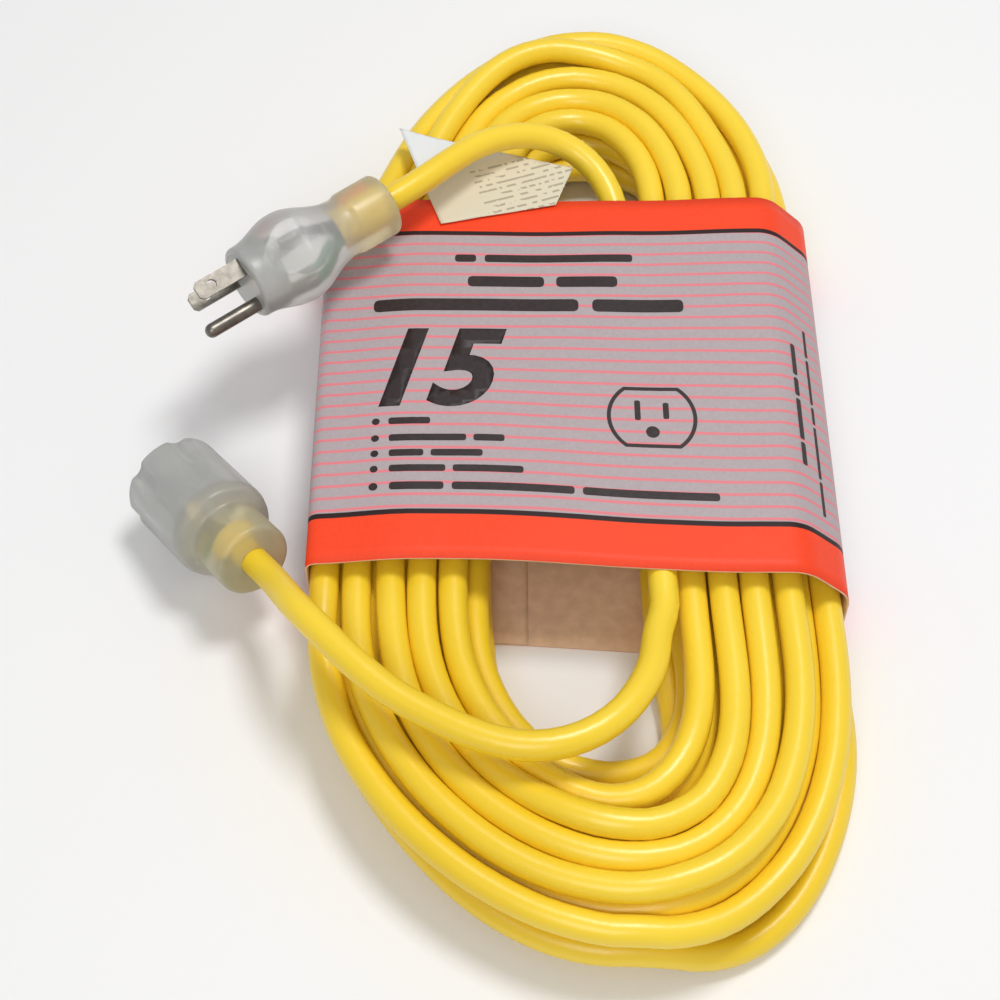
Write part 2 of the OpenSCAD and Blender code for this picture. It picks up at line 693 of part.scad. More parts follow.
module blade_chamber(yz, slot_h) {
    at_yz(yz) {
        translate([carrier_x - 1, -chamber_y / 2, -chamber_z / 2])
            cube([carrier_len + 1 - face_t, chamber_y, chamber_z]);
        translate([carrier_x, -slot_w / 2, -slot_h / 2]) cube([carrier_len + 1, slot_w, slot_h]);
    }
}
module contact_carrier() {
    color(insert_colour) in_connector() difference() {
        x_cylinder(carrier_x, conn_len, carrier_d);
        blade_chamber(line_yz, line_slot_h);
        blade_chamber(neutral_yz, neutral_slot_h);
        at_yz(ground_yz) {
            x_cylinder(carrier_x - 1, conn_len - face_t, ground_chamber_d);
            x_cylinder(carrier_x, conn_len + 1, socket_d);
        }
        at_yz([0, lamp_z]) x_cylinder(carrier_x - 1, lamp_x + lamp_len + 1, lamp_d + 2 * mould_gap);
        // Recesses for the ends of the crimps
        for (yz = [line_crimp, neutral_crimp, ground_crimp]) at_yz(yz)
            x_cylinder(carrier_x - 1, conn_tail_x + 0.2, crimp_d + 0.4);
    }
}
// Spring clip of two leaves joined at the back, with its crimp barrel
module blade_contact(yz) {
    leaf_w = chamber_z - 1.2;
    spread = blade_t - contact_grip + 2 * leaf_t;
    crimp_barrel(crimp_in * yz, conn_crimp_x, conn_tail_x + eps);
    at_yz(yz) {
        translate([conn_tail_x, -spread / 2, -leaf_w / 2]) cube([leaf_t * 2, spread, leaf_w]);
        for (side = [-1, 1])
            translate([conn_tail_x, side * (spread - leaf_t) / 2 - leaf_t / 2, -leaf_w / 2])
                cube([leaf_len, leaf_t, leaf_w]);
    }
}
module line_contact() {
    color(brass_colour) in_connector() blade_contact(line_yz);
}
module neutral_contact() {
    color(brass_colour) in_connector() blade_contact(neutral_yz);
}
// Slit tube that grips the ground pin
module ground_contact() {
    clip_d = pin_d - contact_grip + 2 * leaf_t;
    slit = 1.2;
    color(brass_colour) in_connector() {
        crimp_barrel(ground_crimp, conn_crimp_x, conn_tail_x + eps);
        at_yz(ground_yz) difference() {
            x_cylinder(conn_tail_x, conn_tail_x + leaf_len, clip_d);
            x_cylinder(conn_tail_x + 2 * leaf_t, conn_tail_x + leaf_len + 1, clip_d - 2 * leaf_t);
            translate([conn_tail_x + 3 * leaf_t, -slit / 2, -clip_d]) cube([leaf_len, slit, 2 * clip_d]);
        }
    }
}
module connector_line_wire() {
    color("#2b2b2b") in_connector() insulation(conn_wires[0], conn_jacket_len, conn_crimp_x);
}
module connector_neutral_wire() {
    color("#e8e8e4") in_connector()
        insulation(conn_wires[1], conn_jacket_len, conn_crimp_x);
}
module connector_ground_wire() {
    color("#2f8f4e") in_connector() insulation(conn_wires[2], conn_jacket_len, conn_crimp_x);
}
module connector_wire_cores() {
    color(copper_colour) in_connector() wire_cores(conn_wires, conn_jacket_len, conn_crimp_x);
}
module connector_jacket_end() {
    color(jacket_colour) in_connector() jacket_end(conn_jacket_len);
}
module neon_lamp() {
    color([0.95, 0.62, 0.35, 0.8]) in_connector() at_yz([0, lamp_z]) {
        x_cylinder(lamp_x, lamp_x + lamp_len - lamp_d / 2, lamp_d);
        translate([lamp_x + lamp_len - lamp_d / 2, 0, 0]) sphere(d = lamp_d);
    }
}
module lamp_resistor() {
    color("#c9a46a") in_connector() at_yz([0, lamp_z])
        x_cylinder(resistor_x, resistor_x + resistor_len, resistor_d);
}
module lamp_leads() {
    color(plated_colour) in_connector() lamp_lead_shape(lamp_lead_d);
}

report_gaps();  // cord_hank
cord_hank();
plug_lead();
connector_lead();
cord_label();
card_sleeve();
sleeve_glue();
plug_body();
plug_bridge();
plug_line_blade();
plug_neutral_blade();
plug_ground_pin();
plug_line_wire();
plug_neutral_wire();
plug_ground_wire();
plug_wire_cores();
plug_jacket_end();
connector_body();
contact_carrier();
line_contact();
neutral_contact();
ground_contact();
connector_line_wire();
connector_neutral_wire();
connector_ground_wire();
connector_wire_cores();
connector_jacket_end();
neon_lamp();
lamp_resistor();
lamp_leads();
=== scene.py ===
import math

import bmesh
import bpy
import numpy as np
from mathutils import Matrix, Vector, kdtree, noise


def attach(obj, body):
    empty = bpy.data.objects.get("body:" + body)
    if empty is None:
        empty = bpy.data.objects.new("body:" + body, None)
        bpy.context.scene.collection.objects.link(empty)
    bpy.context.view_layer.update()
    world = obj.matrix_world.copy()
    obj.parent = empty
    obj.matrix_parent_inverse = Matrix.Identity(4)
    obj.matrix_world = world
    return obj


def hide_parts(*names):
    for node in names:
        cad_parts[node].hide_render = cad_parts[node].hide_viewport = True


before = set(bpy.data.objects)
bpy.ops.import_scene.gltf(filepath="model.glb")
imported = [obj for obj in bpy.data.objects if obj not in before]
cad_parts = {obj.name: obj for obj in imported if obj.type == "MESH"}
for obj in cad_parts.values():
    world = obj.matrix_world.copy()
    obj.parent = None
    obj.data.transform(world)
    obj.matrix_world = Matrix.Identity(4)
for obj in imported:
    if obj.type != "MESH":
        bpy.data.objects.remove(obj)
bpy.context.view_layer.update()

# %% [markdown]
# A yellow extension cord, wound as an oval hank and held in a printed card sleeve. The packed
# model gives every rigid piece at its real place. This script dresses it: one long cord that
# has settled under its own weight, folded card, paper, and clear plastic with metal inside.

MM = 0.001

# %% [markdown]
# Most steps start with nothing selected, and end with a piece whose place is in its mesh.
# These helpers do that, so that each later cell only says what is new in it.

# %% Helpers for selecting, finishing and placing
def select_only(*objects):
    bpy.ops.object.select_all(action="DESELECT")
    for item in objects:
        item.select_set(True)
    bpy.context.view_layer.objects.active = objects[-1] if objects else None


def apply_place(piece):
    select_only(piece)
    bpy.ops.object.transform_apply(location=True, rotation=True, scale=True)


def select_edges(piece, test):
    """In edit mode: select the edges that pass the test, and nothing else."""
    bpy.ops.mesh.select_all(action="DESELECT")
    for edge in bmesh.from_edit_mesh(piece.data).edges:
        if test(edge):
            edge.select_set(True)
    bmesh.update_edit_mesh(piece.data)


def new_plane(size=MM):
    """A square plane at the origin, in edit mode, ready to be shaped."""
    bpy.ops.object.select_all(action="DESELECT")
    bpy.ops.mesh.primitive_plane_add(size=size, location=(0, 0, 0))
    bpy.ops.object.mode_set(mode="EDIT")
    return bpy.context.active_object


def slice_at(place, across, **settings):
    """In edit mode: cut the whole mesh by a plane through place (mm), facing across."""
    bpy.ops.mesh.select_all(action="SELECT")
    bpy.ops.mesh.bisect(plane_co=[v * MM for v in place], plane_no=across, **settings)


def finish_piece(piece, name, body, material=None):
    piece.name = name
    piece.data.name = name
    if material is not None:
        piece.data.materials.clear()
        piece.data.materials.append(material)
    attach(piece, body)
    print(name, "has", len(piece.data.polygons), "faces")


# %% [markdown]
# The camera looks down on the table at about 55 degrees, from a little over 0.6 m away. That
# height shows the top of the card in full and still lets the far turns rise behind it. The
# lens is long enough to keep the sleeve's sides nearly parallel.

# %% Camera
CAMERA_AT = Vector((-24.90, -392.38, 534.19)) * MM
CAMERA_DOWN, CAMERA_TURN = math.radians(55.42), math.radians(-0.07)
LENS, FILM_WIDTH = 68.84, 36.0
camera_data = bpy.data.cameras.new("camera")
camera_data.lens = LENS
camera_data.sensor_width = FILM_WIDTH
camera = bpy.data.objects.new("camera", camera_data)
camera.location = CAMERA_AT
camera.rotation_euler = (math.pi / 2 - CAMERA_DOWN, 0.0, CAMERA_TURN)
bpy.context.scene.collection.objects.link(camera)
bpy.context.scene.camera = camera
print("camera stands", round(CAMERA_AT.length, 3), "m from the sleeve")

# %% [markdown]
# The cord is one continuous length. It could be drawn as separate loops, but then every loop
# would look alike and the loops would pass through each other. Here one route is laid out,
# from the plug, through twenty turns in four layers, to the connector. It starts as a tidy
# winding with small random slips at its round ends, as a hand leaves them.

# %% The cord's sizes and the plan of its winding, in millimetres
CORD_D = 9.3
CORD_R = CORD_D / 2
TURN_PITCH = CORD_D + 0.6
LAYER_STEP = CORD_D + 0.8
TURNS, LAYERS = 5, 4
INNER_HALF_W, INNER_END, RUN_HALF = 31.2, 42.0, 88.0
FAR_MORE = 4.0
HANK_X, HANK_Y = 0.0, -10.5
TAU_START, TURN_BACK, CLIMB_FROM = 1 / 8, 3 / 8, 1 / 4
LAYER_LEANS = (0.0, 0.0, 2.2, 7.4)
CARD_T = 0.6
WAIST_LIFT = CARD_T + 0.7
FIRST_Z = CORD_R * math.cos(math.radians(30)) + WAIST_LIFT
STOP_Y = -80.0
SLEEVE_MID_Y, SLEEVE_EDGE = 1.8, -73.0
# The far end is drawn in at the left; the near end is slanted, and then swept to the right
FAR_SHIFT, FAR_SLOPE, FAR_PIVOT, FAR_FROM, FAR_OVER = 17.0, 0.103, 85.0, 50.0, 50.0
SLANT, SLANT_SOFT, SLANT_MID, SLANT_REACH = 0.15, 20.0, -25.0, 110.0
SWEEP, SWEEP_SOFT, SWEEP_FALL = 0.12, 12.0, 0.9
OUTER_HALF_W = 84.0
CLIMB_RATE = 4
LOOSE_FROM, LOOSE_OVER = 70, 50     # slips fade out where the card holds the turns
PLUG_AT = np.array((-63.8, 58.8, 57.0))
PLUG_YAW = math.radians(219)
CONNECTOR_AT = np.array((-101.1, -68.6, 30.759))
CONNECTOR_YAW, CONNECTOR_TIP = math.radians(127.5), math.radians(16)
plug_back = -np.array((math.cos(PLUG_YAW), math.sin(PLUG_YAW), 0.0))
connector_back = -np.array((math.cos(CONNECTOR_TIP) * math.cos(CONNECTOR_YAW),
                            math.cos(CONNECTOR_TIP) * math.sin(CONNECTOR_YAW),
                            -math.sin(CONNECTOR_TIP)))


def clamp01(value):
    return min(1.0, max(0.0, value))


def smooth01(value):
    value = clamp01(value)
    return value * value * (3 - 2 * value)


def turns_out(tau):
    """How many turn pitches the cord lies outside the innermost turn, after tau turns."""
    u = (tau - TURN_BACK) / TURNS
    layer = min(LAYERS - 1, max(0, math.floor(u)))
    return TURNS * (u - layer) if layer % 2 == 0 else TURNS * (1 - u + layer)


def layers_climbed(tau):
    return sum(clamp01((tau - k * TURNS - CLIMB_FROM) * CLIMB_RATE) for k in range(1, LAYERS))


def lean_at(tau):
    """How far the sloping card pushes this turn in from the right."""
    return LAYER_LEANS[min(LAYERS - 1, max(0, math.floor((tau - 0.5) / TURNS)))]


# %% Slips of the hand: smooth random offsets along the winding
SEED = 7
random_knots = np.random.default_rng(SEED)


def slip(knots_per_turn, size):
    """A smooth random value along the turns, as a function of the turn."""
    knots = random_knots.normal(0.0, size, (TURNS * LAYERS + 2) * knots_per_turn + 3)

    def at(tau):
        place = tau * knots_per_turn
        low = int(math.floor(place))
        share = (1 - math.cos(math.pi * (place - low))) / 2
        return knots[low] * (1 - share) + knots[low + 1] * share
    return at


END_SLIP, SIDE_SLIP, RISE_SLIP = 3.9, 2.8, 0.9
end_slip = slip(2, END_SLIP)
side_slip = slip(2, SIDE_SLIP)
rise_slip = slip(4, RISE_SLIP)


def leaned(x, y):
    """The round ends as they lie: the far one drawn in at the left, the near one swept right."""
    x += smooth01((y - FAR_FROM) / FAR_OVER) * (FAR_SHIFT - FAR_SLOPE * (x + FAR_PIVOT))
    slant = max(0.0, SLEEVE_EDGE - y)
    slant = SLANT * slant * slant / (slant + SLANT_SOFT)
    x += slant * (1 - ((x - SLANT_MID) / SLANT_REACH) ** 2)
    past = max(0.0, HANK_Y - RUN_HALF - y)
    past = past * past / (past + SWEEP_SOFT)
    x += SWEEP * past * (1 - SWEEP_FALL * (x + OUTER_HALF_W) / (2 * OUTER_HALF_W))
    return x, y


def hank_point(tau):
    """Middle of the cord after tau turns: right run, near end, left run, far end."""
    phase = 4 * (tau - math.floor(tau))
    part = int(phase)
    share = phase - part
    out = TURN_PITCH * turns_out(tau)
    a = INNER_HALF_W + out
    b = INNER_END + out + end_slip(tau)
    c = math.cos(math.pi * share)
    lean = lean_at(tau)
    if part == 0:
        x, y = a - lean, RUN_HALF * (1 - 2 * share)
    elif part == 1:
        x, y = a * c - lean * ((1 + c) / 2) ** 2, -RUN_HALF - b * math.sin(math.pi * share)
    elif part == 2:
        x, y = -a, -RUN_HALF * (1 - 2 * share)
    else:
        x, y = -a * c - lean * (1 - c) / 2, RUN_HALF + (b + FAR_MORE) * math.sin(math.pi * share)
    x, y = leaned(HANK_X + x, HANK_Y + y)
    loose = clamp01((abs(y - SLEEVE_MID_Y) - LOOSE_FROM) / LOOSE_OVER)
    z = FIRST_Z + LAYER_STEP * layers_climbed(tau) + loose * rise_slip(tau)
    return x + loose * side_slip(tau), y, z


# %% The two free ends, as listed points
tau_stop = LAYERS * TURNS + (1 - (STOP_Y - HANK_Y) / RUN_HALF) / 8
HANK_SAMPLES = 2400
hank_route = np.array([hank_point(tau) for tau in np.linspace(TAU_START, tau_stop, HANK_SAMPLES)])
plug_lead_route = [
    PLUG_AT, PLUG_AT + CORD_D * plug_back,
    (-47.9, 73, 56.5), (-39.8, 81.9, 55.2), (-31.4, 90.4, 53.2), (-21.9, 97.2, 50.3),
    (-11.1, 101.1, 46.6), (0, 100.3, 42.1), (9.3, 94.5, 37.4), (15.2, 84.9, 33.1),
    (17.6, 73.8, 29.3), (18.2, 60, 24.4),
    (18.8, 45, 18.3), (20.2, 30.5, 12.4), (22.8, 17.5, 8), (26.5, 7, 6.2),
    hank_route[0] + (0, CORD_D, 0),
]
connector_lead_route = [
    hank_route[-1] - (0, CORD_D, 0),
    (22.8, -99, 37.5), (21, -110, 40.3), (17, -120, 42.8), (10.5, -129.5, 44.5),
    (1.5, -136.5, 45.3), (-9, -140.3, 45.8), (-20, -140.5, 45.8), (-32, -137, 45.8),
    (-45, -130.5, 45.8), (-56.8, -123.2, 46.3), (-67.6, -113.9, 47), (-74.6, -106.6, 47),
    (-81, -99.1, 46), (-86.5, -91.7, 43), (-91, -83.7, 38),
    CONNECTOR_AT + CORD_D * connector_back, CONNECTOR_AT,
]


def through(points, steps=8):
    """A smooth curve through the points."""
    p = np.array([np.array(q, float) for q in points])
    p = np.vstack([2 * p[0] - p[1], p, 2 * p[-1] - p[-2]])
    curve = []
    for a, b, c, d in zip(p, p[1:], p[2:], p[3:]):
        for t in np.arange(steps) / steps:
            curve.append(0.5 * (2 * b + (c - a) * t + (2 * a - 5 * b + 4 * c - d) * t * t
                                + (3 * b - a - 3 * c + d) * t ** 3))
    return np.array(curve + [p[-2]])


def length_of(points):
    return float(np.linalg.norm(np.diff(points, axis=0), axis=1).sum())


def evenly(points, step):
    """The same curve with points a constant step apart."""
    along = np.concatenate([[0], np.cumsum(np.linalg.norm(np.diff(points, axis=0), axis=1))])
    places = np.linspace(0, along[-1], int(round(along[-1] / step)) + 1)
    return np.stack([np.interp(places, along, points[:, k]) for k in range(3)], axis=1)


STEP = 5.0
plug_lead, connector_lead = through(plug_lead_route), through(connector_lead_route)
laid_out = evenly(np.vstack([plug_lead, hank_route, connector_lead]), STEP)
print("laid out:", round(length_of(laid_out) / 1000, 2), "m of cord in", len(laid_out), "points")

# %% [markdown]
# Now the cord is let go. It is treated as a chain of beads that cannot stretch, cannot pass
# through each other, the table or the card, and sink a little. Blender's own rope tools would
# need a long simulation. A hundred or so passes of these simple rules are enough, because the
# winding starts close to where it should end. The two free ends are held where they lie.

# %% What holds the cord: table, card and its own turns
SLEEVE_LEN = 149.0
SLEEVE_HALF_W = 85.06
SLEEVE_TOP = 40.6
FOLD_X, SLOPE_Z = 70.06, 25.6
LEFT_FOLD_X, LEFT_DROP = -62.0, 3.0
CARD_CLEAR = 0.45
HELD_PLUG_LEAD, HELD_CONNECTOR_LEAD, RELEASE = 150.0, 225.0, 50.0
PASSES, TRIES, SEARCH_EVERY, SEARCH_MORE = 120, 3, 8, 4.0
SINK = 0.10
KEEP_PLAN = np.array((0.04, 0.04, 0.004))
EVEN_OUT = ((1, (0.45, -0.47)), (3, (0.3, -0.31)))
TOUCH, PUSH = CORD_D + 0.15, 1.3
# The card's walls and floor act within these distances of its middle
IN_CARD, IN_CARD_OVER, ON_CARD, ON_CARD_OVER = 100, 14, 110, 24
TABLE_CLEAR, CARD_MORE = 0.05, 0.35
SPARE_LEFT, SPARE_RIGHT = 0.4, 1.5
NEAR_LIMIT, FAR_LIMIT = -193, 171


def held_share(points):
    """1 where the lead is held by hand, falling to 0 where the winding is free."""
    along = np.linspace(0, length_of(points), len(points))
    from_plug = (HELD_PLUG_LEAD + RELEASE - along) / RELEASE
    from_connector = (along - (along[-1] - HELD_CONNECTOR_LEAD - RELEASE)) / RELEASE
    return np.clip(np.maximum(from_plug, from_connector), 0, 1)


def card_walls():
    """Outward normal and distance of each wall, in the XZ plane, seen from inside."""
    inside = CARD_T + CARD_CLEAR
    slope = np.array((SLEEVE_TOP - SLOPE_Z, SLEEVE_HALF_W - FOLD_X))
    slope /= np.linalg.norm(slope)
    left = np.array((-LEFT_DROP, SLEEVE_HALF_W + LEFT_FOLD_X))
    left /= np.linalg.norm(left)
    return [(np.array((1.0, 0.0)), SLEEVE_HALF_W - inside),
            (np.array((-1.0, 0.0)), SLEEVE_HALF_W - inside),
            (np.array((0.0, 1.0)), SLEEVE_TOP - inside),
            (slope, slope @ np.array((FOLD_X, SLEEVE_TOP)) - inside),
            (left, left @ np.array((LEFT_FOLD_X, SLEEVE_TOP)) - inside)]


def close_pairs(points, reach, apart=7):
    """Pairs of beads nearer than reach that are not neighbours along the cord."""
    tree = kdtree.KDTree(len(points))
    for i, p in enumerate(points):
        tree.insert(p, i)
    tree.balance()
    found = [(i, j) for i, p in enumerate(points)
             for _, j, _ in tree.find_range(p, reach) if j > i + apart]
    return np.array(found)


# %% Let the winding settle
def settle(start, passes):
    held = held_share(start)
    free = (1 - held)[:, None]
    beads = start.copy()
    step = length_of(start) / (len(start) - 1)
    walls = card_walls()
    for turn in range(passes):
        if turn % SEARCH_EVERY == 0:
            pairs = close_pairs(beads, CORD_D + SEARCH_MORE)
        beads[:, 2] -= SINK * (1 - held)
        # It keeps to its plan, and its bends stay even
        beads += KEEP_PLAN * (start - beads) * free
        for reach, shares in EVEN_OUT:
            for share in shares:
                middle = (beads[:-2 * reach] + beads[2 * reach:]) / 2
                beads[reach:-reach] += share * (middle - beads[reach:-reach]) * free[reach:-reach]
        for _ in range(TRIES):
            keep_apart(beads, pairs, free)
            keep_length(beads, step, free)
            keep_inside(beads, walls)
        beads[held >= 1] = start[held >= 1]
    return beads


def keep_apart(beads, pairs, free):
    between = beads[pairs[:, 0]] - beads[pairs[:, 1]]
    gap = np.linalg.norm(between, axis=1)
    touching = gap < TOUCH
    between, gap = between[touching], gap[touching][:, None]
    push = 0.5 * (TOUCH - gap) * between / np.maximum(gap, 1e-6)
    total, count = np.zeros_like(beads), np.zeros(len(beads))
    for side, sign in ((0, 1), (1, -1)):
        np.add.at(total, pairs[touching, side], sign * push)
        np.add.at(count, pairs[touching, side], 1)
    beads += PUSH * total / np.maximum(count, 1)[:, None] * free


def keep_length(beads, step, free):
    for first in (0, 1):
        i = np.arange(first, len(beads) - 1, 2)
        link = beads[i + 1] - beads[i]
        size = np.linalg.norm(link, axis=1)[:, None]
        fix = 0.5 * (size - step) * link / size
        beads[i] += fix * free[i]
        beads[i + 1] -= fix * free[i + 1]


def keep_inside(beads, walls):
    from_middle = np.abs(beads[:, 1] - SLEEVE_MID_Y)
    in_card = np.clip((IN_CARD - from_middle) / IN_CARD_OVER, 0, 1)
    on_card = np.clip((ON_CARD - from_middle) / ON_CARD_OVER, 0, 1)
    beads[:, 2] = np.maximum(beads[:, 2], CORD_R + TABLE_CLEAR + (CARD_T + CARD_MORE) * on_card)
    for normal, distance in walls:
        depth = beads[:, [0, 2]] @ normal - (distance - CORD_R)
        beads[:, [0, 2]] -= (np.maximum(depth, 0) * in_card)[:, None] * normal
    beads[:, 0] = np.clip(beads[:, 0], -SLEEVE_HALF_W + CORD_R - SPARE_LEFT,
                          SLEEVE_HALF_W + SPARE_RIGHT - CORD_R)
    beads[:, 1] = np.clip(beads[:, 1], NEAR_LIMIT + CORD_R, FAR_LIMIT - CORD_R)


beads = settle(laid_out, PASSES)
worst = close_pairs(beads, CORD_D)
if len(worst):
    worst_gap = CORD_D - np.linalg.norm(beads[worst[:, 0]] - beads[worst[:, 1]], axis=1)
    print("turns pressed together by at most", round(float(worst_gap.max()), 2), "mm")

# %% The cord as one open curve
curve_data = bpy.data.curves.new("cord", "CURVE")
curve_data.dimensions = "3D"
curve_data.bevel_depth = 1.0
curve_data.bevel_resolution = 6
curve_data.use_fill_caps = True
spline = curve_data.splines.new("POLY")
spline.points.add(len(beads) - 1)
for point, bead in zip(spline.points, beads):
    point.co = (*(bead * MM), 1.0)
    point.radius = CORD_R * MM
spline.use_smooth = True
cord = bpy.data.objects.new("cord", curve_data)
bpy.context.scene.collection.objects.link(cord)
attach(cord, "hank")
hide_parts("cord_hank", "plug_lead", "connector_lead")

# %% [markdown]
# Soft yellow vinyl has a clear gloss over a slightly uneven skin. A plain yellow looks like
# paint, so a slow drift of colour and a very fine bump are added, both on object coordinates.

# %% Materials: a small node helper and the jacket
def new_material(name):
    """A material, its tree of nodes and its shader."""
    material = bpy.data.materials.new(name)
    material.use_nodes = True
    tree = material.node_tree
    return material, tree, tree.nodes["Principled BSDF"]


def add_node(tree, kind, **settings):
    node = tree.nodes.new(kind)
    for key, value in settings.items():
        setattr(node, key, value)
    return node


def set_values(node, **values):
    """Set a node's inputs; an underscore stands for the space in an input's name."""
    for name, value in values.items():
        node.inputs[name.replace("_", " ")].default_value = value


def noise_of(tree, scale, detail=2.0, place=None):
    """A noise from 0 to 1, on object coordinates unless another place is given."""
    if place is None:
        place = add_node(tree, "ShaderNodeTexCoord").outputs["Object"]
    texture = add_node(tree, "ShaderNodeTexNoise")
    set_values(texture, Scale=scale, Detail=detail)
    tree.links.new(place, texture.inputs["Vector"])
    return texture.outputs["Fac"]


def uv_place(tree, uv_map):
    """The place on a UV map: whole, its X and its Y."""
    uv = add_node(tree, "ShaderNodeUVMap", uv_map=uv_map).outputs["UV"]
    split = add_node(tree, "ShaderNodeSeparateXYZ")
    tree.links.new(uv, split.inputs["Vector"])
    return uv, split.outputs["X"], split.outputs["Y"]


def drifting_colour(tree, shader, low, high, scale, detail):
    """A slow drift of the base colour between two close colours."""
    ramp = add_node(tree, "ShaderNodeValToRGB")
    ramp.color_ramp.elements[0].position = 0.35
    ramp.color_ramp.elements[1].position = 0.65
    ramp.color_ramp.elements[0].color = (*low, 1)
    ramp.color_ramp.elements[1].color = (*high, 1)
    tree.links.new(noise_of(tree, scale, detail), ramp.inputs["Fac"])
    tree.links.new(ramp.outputs["Color"], shader.inputs["Base Color"])


def fine_bump(tree, shader, scale, distance, strength):
    bump = add_node(tree, "ShaderNodeBump")
    set_values(bump, Strength=strength, Distance=distance)
    tree.links.new(noise_of(tree, scale, 3.0), bump.inputs["Height"])
    tree.links.new(bump.outputs["Normal"], shader.inputs["Normal"])


def math_node(tree, operation, *values):
    """A Math node's result; each value is a number or another node's output."""
    node = add_node(tree, "ShaderNodeMath", operation=operation)
    for socket, value in zip(node.inputs, values):
        if isinstance(value, (int, float)):
            socket.default_value = value
        else:
            tree.links.new(value, socket)
    return node.outputs[0]


def fade(tree, value, kind="LINEAR", **limits):
    """A Map Range node's result; the limits are its inputs, such as From_Min."""
    node = add_node(tree, "ShaderNodeMapRange", interpolation_type=kind)
    set_values(node, **limits)
    tree.links.new(value, node.inputs["Value"])
    return node.outputs["Result"]


def away_from(tree, place, middle):
    return math_node(tree, "ABSOLUTE", math_node(tree, "SUBTRACT", place, middle))


def line_mask(tree, place, middle, half, soft):
    """1 within half of middle, falling to 0 over soft, measured along place."""
    return fade(tree, away_from(tree, place, middle),
                From_Min=half, From_Max=half + soft, To_Min=1.0, To_Max=0.0)


def mix_in(tree, mask, below, colour):
    """Lay a colour over what is below, where the mask says."""
    mix = add_node(tree, "ShaderNodeMix", data_type="RGBA")
    tree.links.new(mask, mix.inputs["Factor"])
    for socket, value in ((mix.inputs[6], below), (mix.inputs[7], colour)):
        if isinstance(value, tuple):
            socket.default_value = (*value, 1)
        else:
            tree.links.new(value, socket)
    return mix.outputs[2]


def plain_material(name, low, high, drift, bump, **values):
    """A drift (scale, detail) of colour, a bump (scale, depth in metres, strength) and values."""
    material, tree, shader = new_material(name)
    drifting_colour(tree, shader, low, high, *drift)
    fine_bump(tree, shader, *bump)
    set_values(shader, **values)
    return material


yellow_vinyl = plain_material("yellow_vinyl", (0.88, 0.60, 0.02), (0.97, 0.69, 0.04),
                              (9.0, 2.0), (260.0, 0.0004, 0.25),
                              Roughness=0.33, Specular_IOR_Level=0.6)
cord.data.materials.append(yellow_vinyl)

# %% [markdown]
# Plug and connector are moulded in milky clear vinyl over their metal parts. A solid of glass
# alone would look like ice, and paint would hide the blades' roots and the wires. So the
# wall is one closed skin with a frosted, slightly grey transmission, and the metal inside
# stays real. Each outline is drawn as half a section and spun, as on a lathe.

# %% Mouldings: outlines and the lathe
UV_UNIT = 100.0


def swell(x0, r0, x1, r1, count):
    """Places along a soft change of radius."""
    return [(x0 + (x1 - x0) * i / count, r0 + (r1 - r0) * (1 - math.cos(math.pi * i / count)) / 2)
            for i in range(count + 1)]


def round_off(x, r, size, way, count=6):
    """A quarter round, from the end face at x to the side at radius r."""
    turns = [math.pi / 2 * i / count for i in range(count + 1)]
    return [(x + way * size * (1 - math.cos(t)), r - size * (1 - math.sin(t))) for t in turns]


def turned(outline, steps):
    """Spin an outline of places (along, out), in mm, round the X axis."""
    piece = new_plane()
    bpy.ops.mesh.select_mode(type="VERT")
    bpy.ops.mesh.merge(type="CENTER")
    bpy.ops.transform.translate(value=(outline[0][0] * MM, 0, outline[0][1] * MM))
    for (x0, r0), (x1, r1) in zip(outline, outline[1:]):
        bpy.ops.mesh.extrude_vertices_move(
            TRANSFORM_OT_translate={"value": ((x1 - x0) * MM, 0, (r1 - r0) * MM)})
    bpy.ops.mesh.select_all(action="SELECT")
    bpy.ops.mesh.spin(steps=steps, angle=2 * math.pi, center=(0, 0, 0), axis=(1, 0, 0))
    bpy.ops.mesh.select_all(action="SELECT")
    bpy.ops.mesh.remove_doubles(threshold=0.002 * MM)
    bpy.ops.mesh.normals_make_consistent(inside=False)
    bpy.ops.object.mode_set(mode="OBJECT")
    return piece


def put_in_place(piece, place, roll, tip, yaw):
    """Keep the distance along the moulding as UVs, then turn it and bring it to its place."""
    along = piece.data.uv_layers.new(name="along")
    for corner in piece.data.loops:
        spot = piece.data.vertices[corner.vertex_index].co / MM
        along.data[corner.index].uv = (spot.x / UV_UNIT, spot.z / UV_UNIT)
    select_only(piece)
    bpy.ops.object.shade_smooth_by_angle(angle=math.radians(32))
    piece.location = Vector(place) * MM
    piece.rotation_euler = (math.radians(roll), tip, yaw)
    apply_place(piece)


CORD_HOLE, MOUTH_DEEP = CORD_R + 0.1, 0.6

# %% Plug moulding
PLUG_LEN, PLUG_ROLL, PLUG_FLAT = 57.0, 61.8, 12.8
PLUG_COLLAR_R, PLUG_NECK_R, PLUG_GRIP_R, PLUG_FACE_R = 11.0, 10.3, 16.0, 12.52
PLUG_COLLAR, PLUG_NECK, PLUG_GRIP = (0, 14), (17, 18), (38, 39)
INSERT_R, FACE_DEEP, PLUG_EDGE, FLAT_EDGE = 10.42, 0.4, 1.6, 0.5
INSERT_HOLE = INSERT_R + 0.15
plug_outline = [(MOUTH_DEEP, 0), (MOUTH_DEEP, CORD_HOLE), (0, CORD_HOLE)]
plug_outline += round_off(PLUG_COLLAR[0], PLUG_COLLAR_R, PLUG_EDGE, 1)
plug_outline += swell(PLUG_COLLAR[1], PLUG_COLLAR_R, PLUG_NECK[0], PLUG_NECK_R, 4)
plug_outline += swell(PLUG_NECK[1], PLUG_NECK_R, PLUG_GRIP[0], PLUG_GRIP_R, 14)
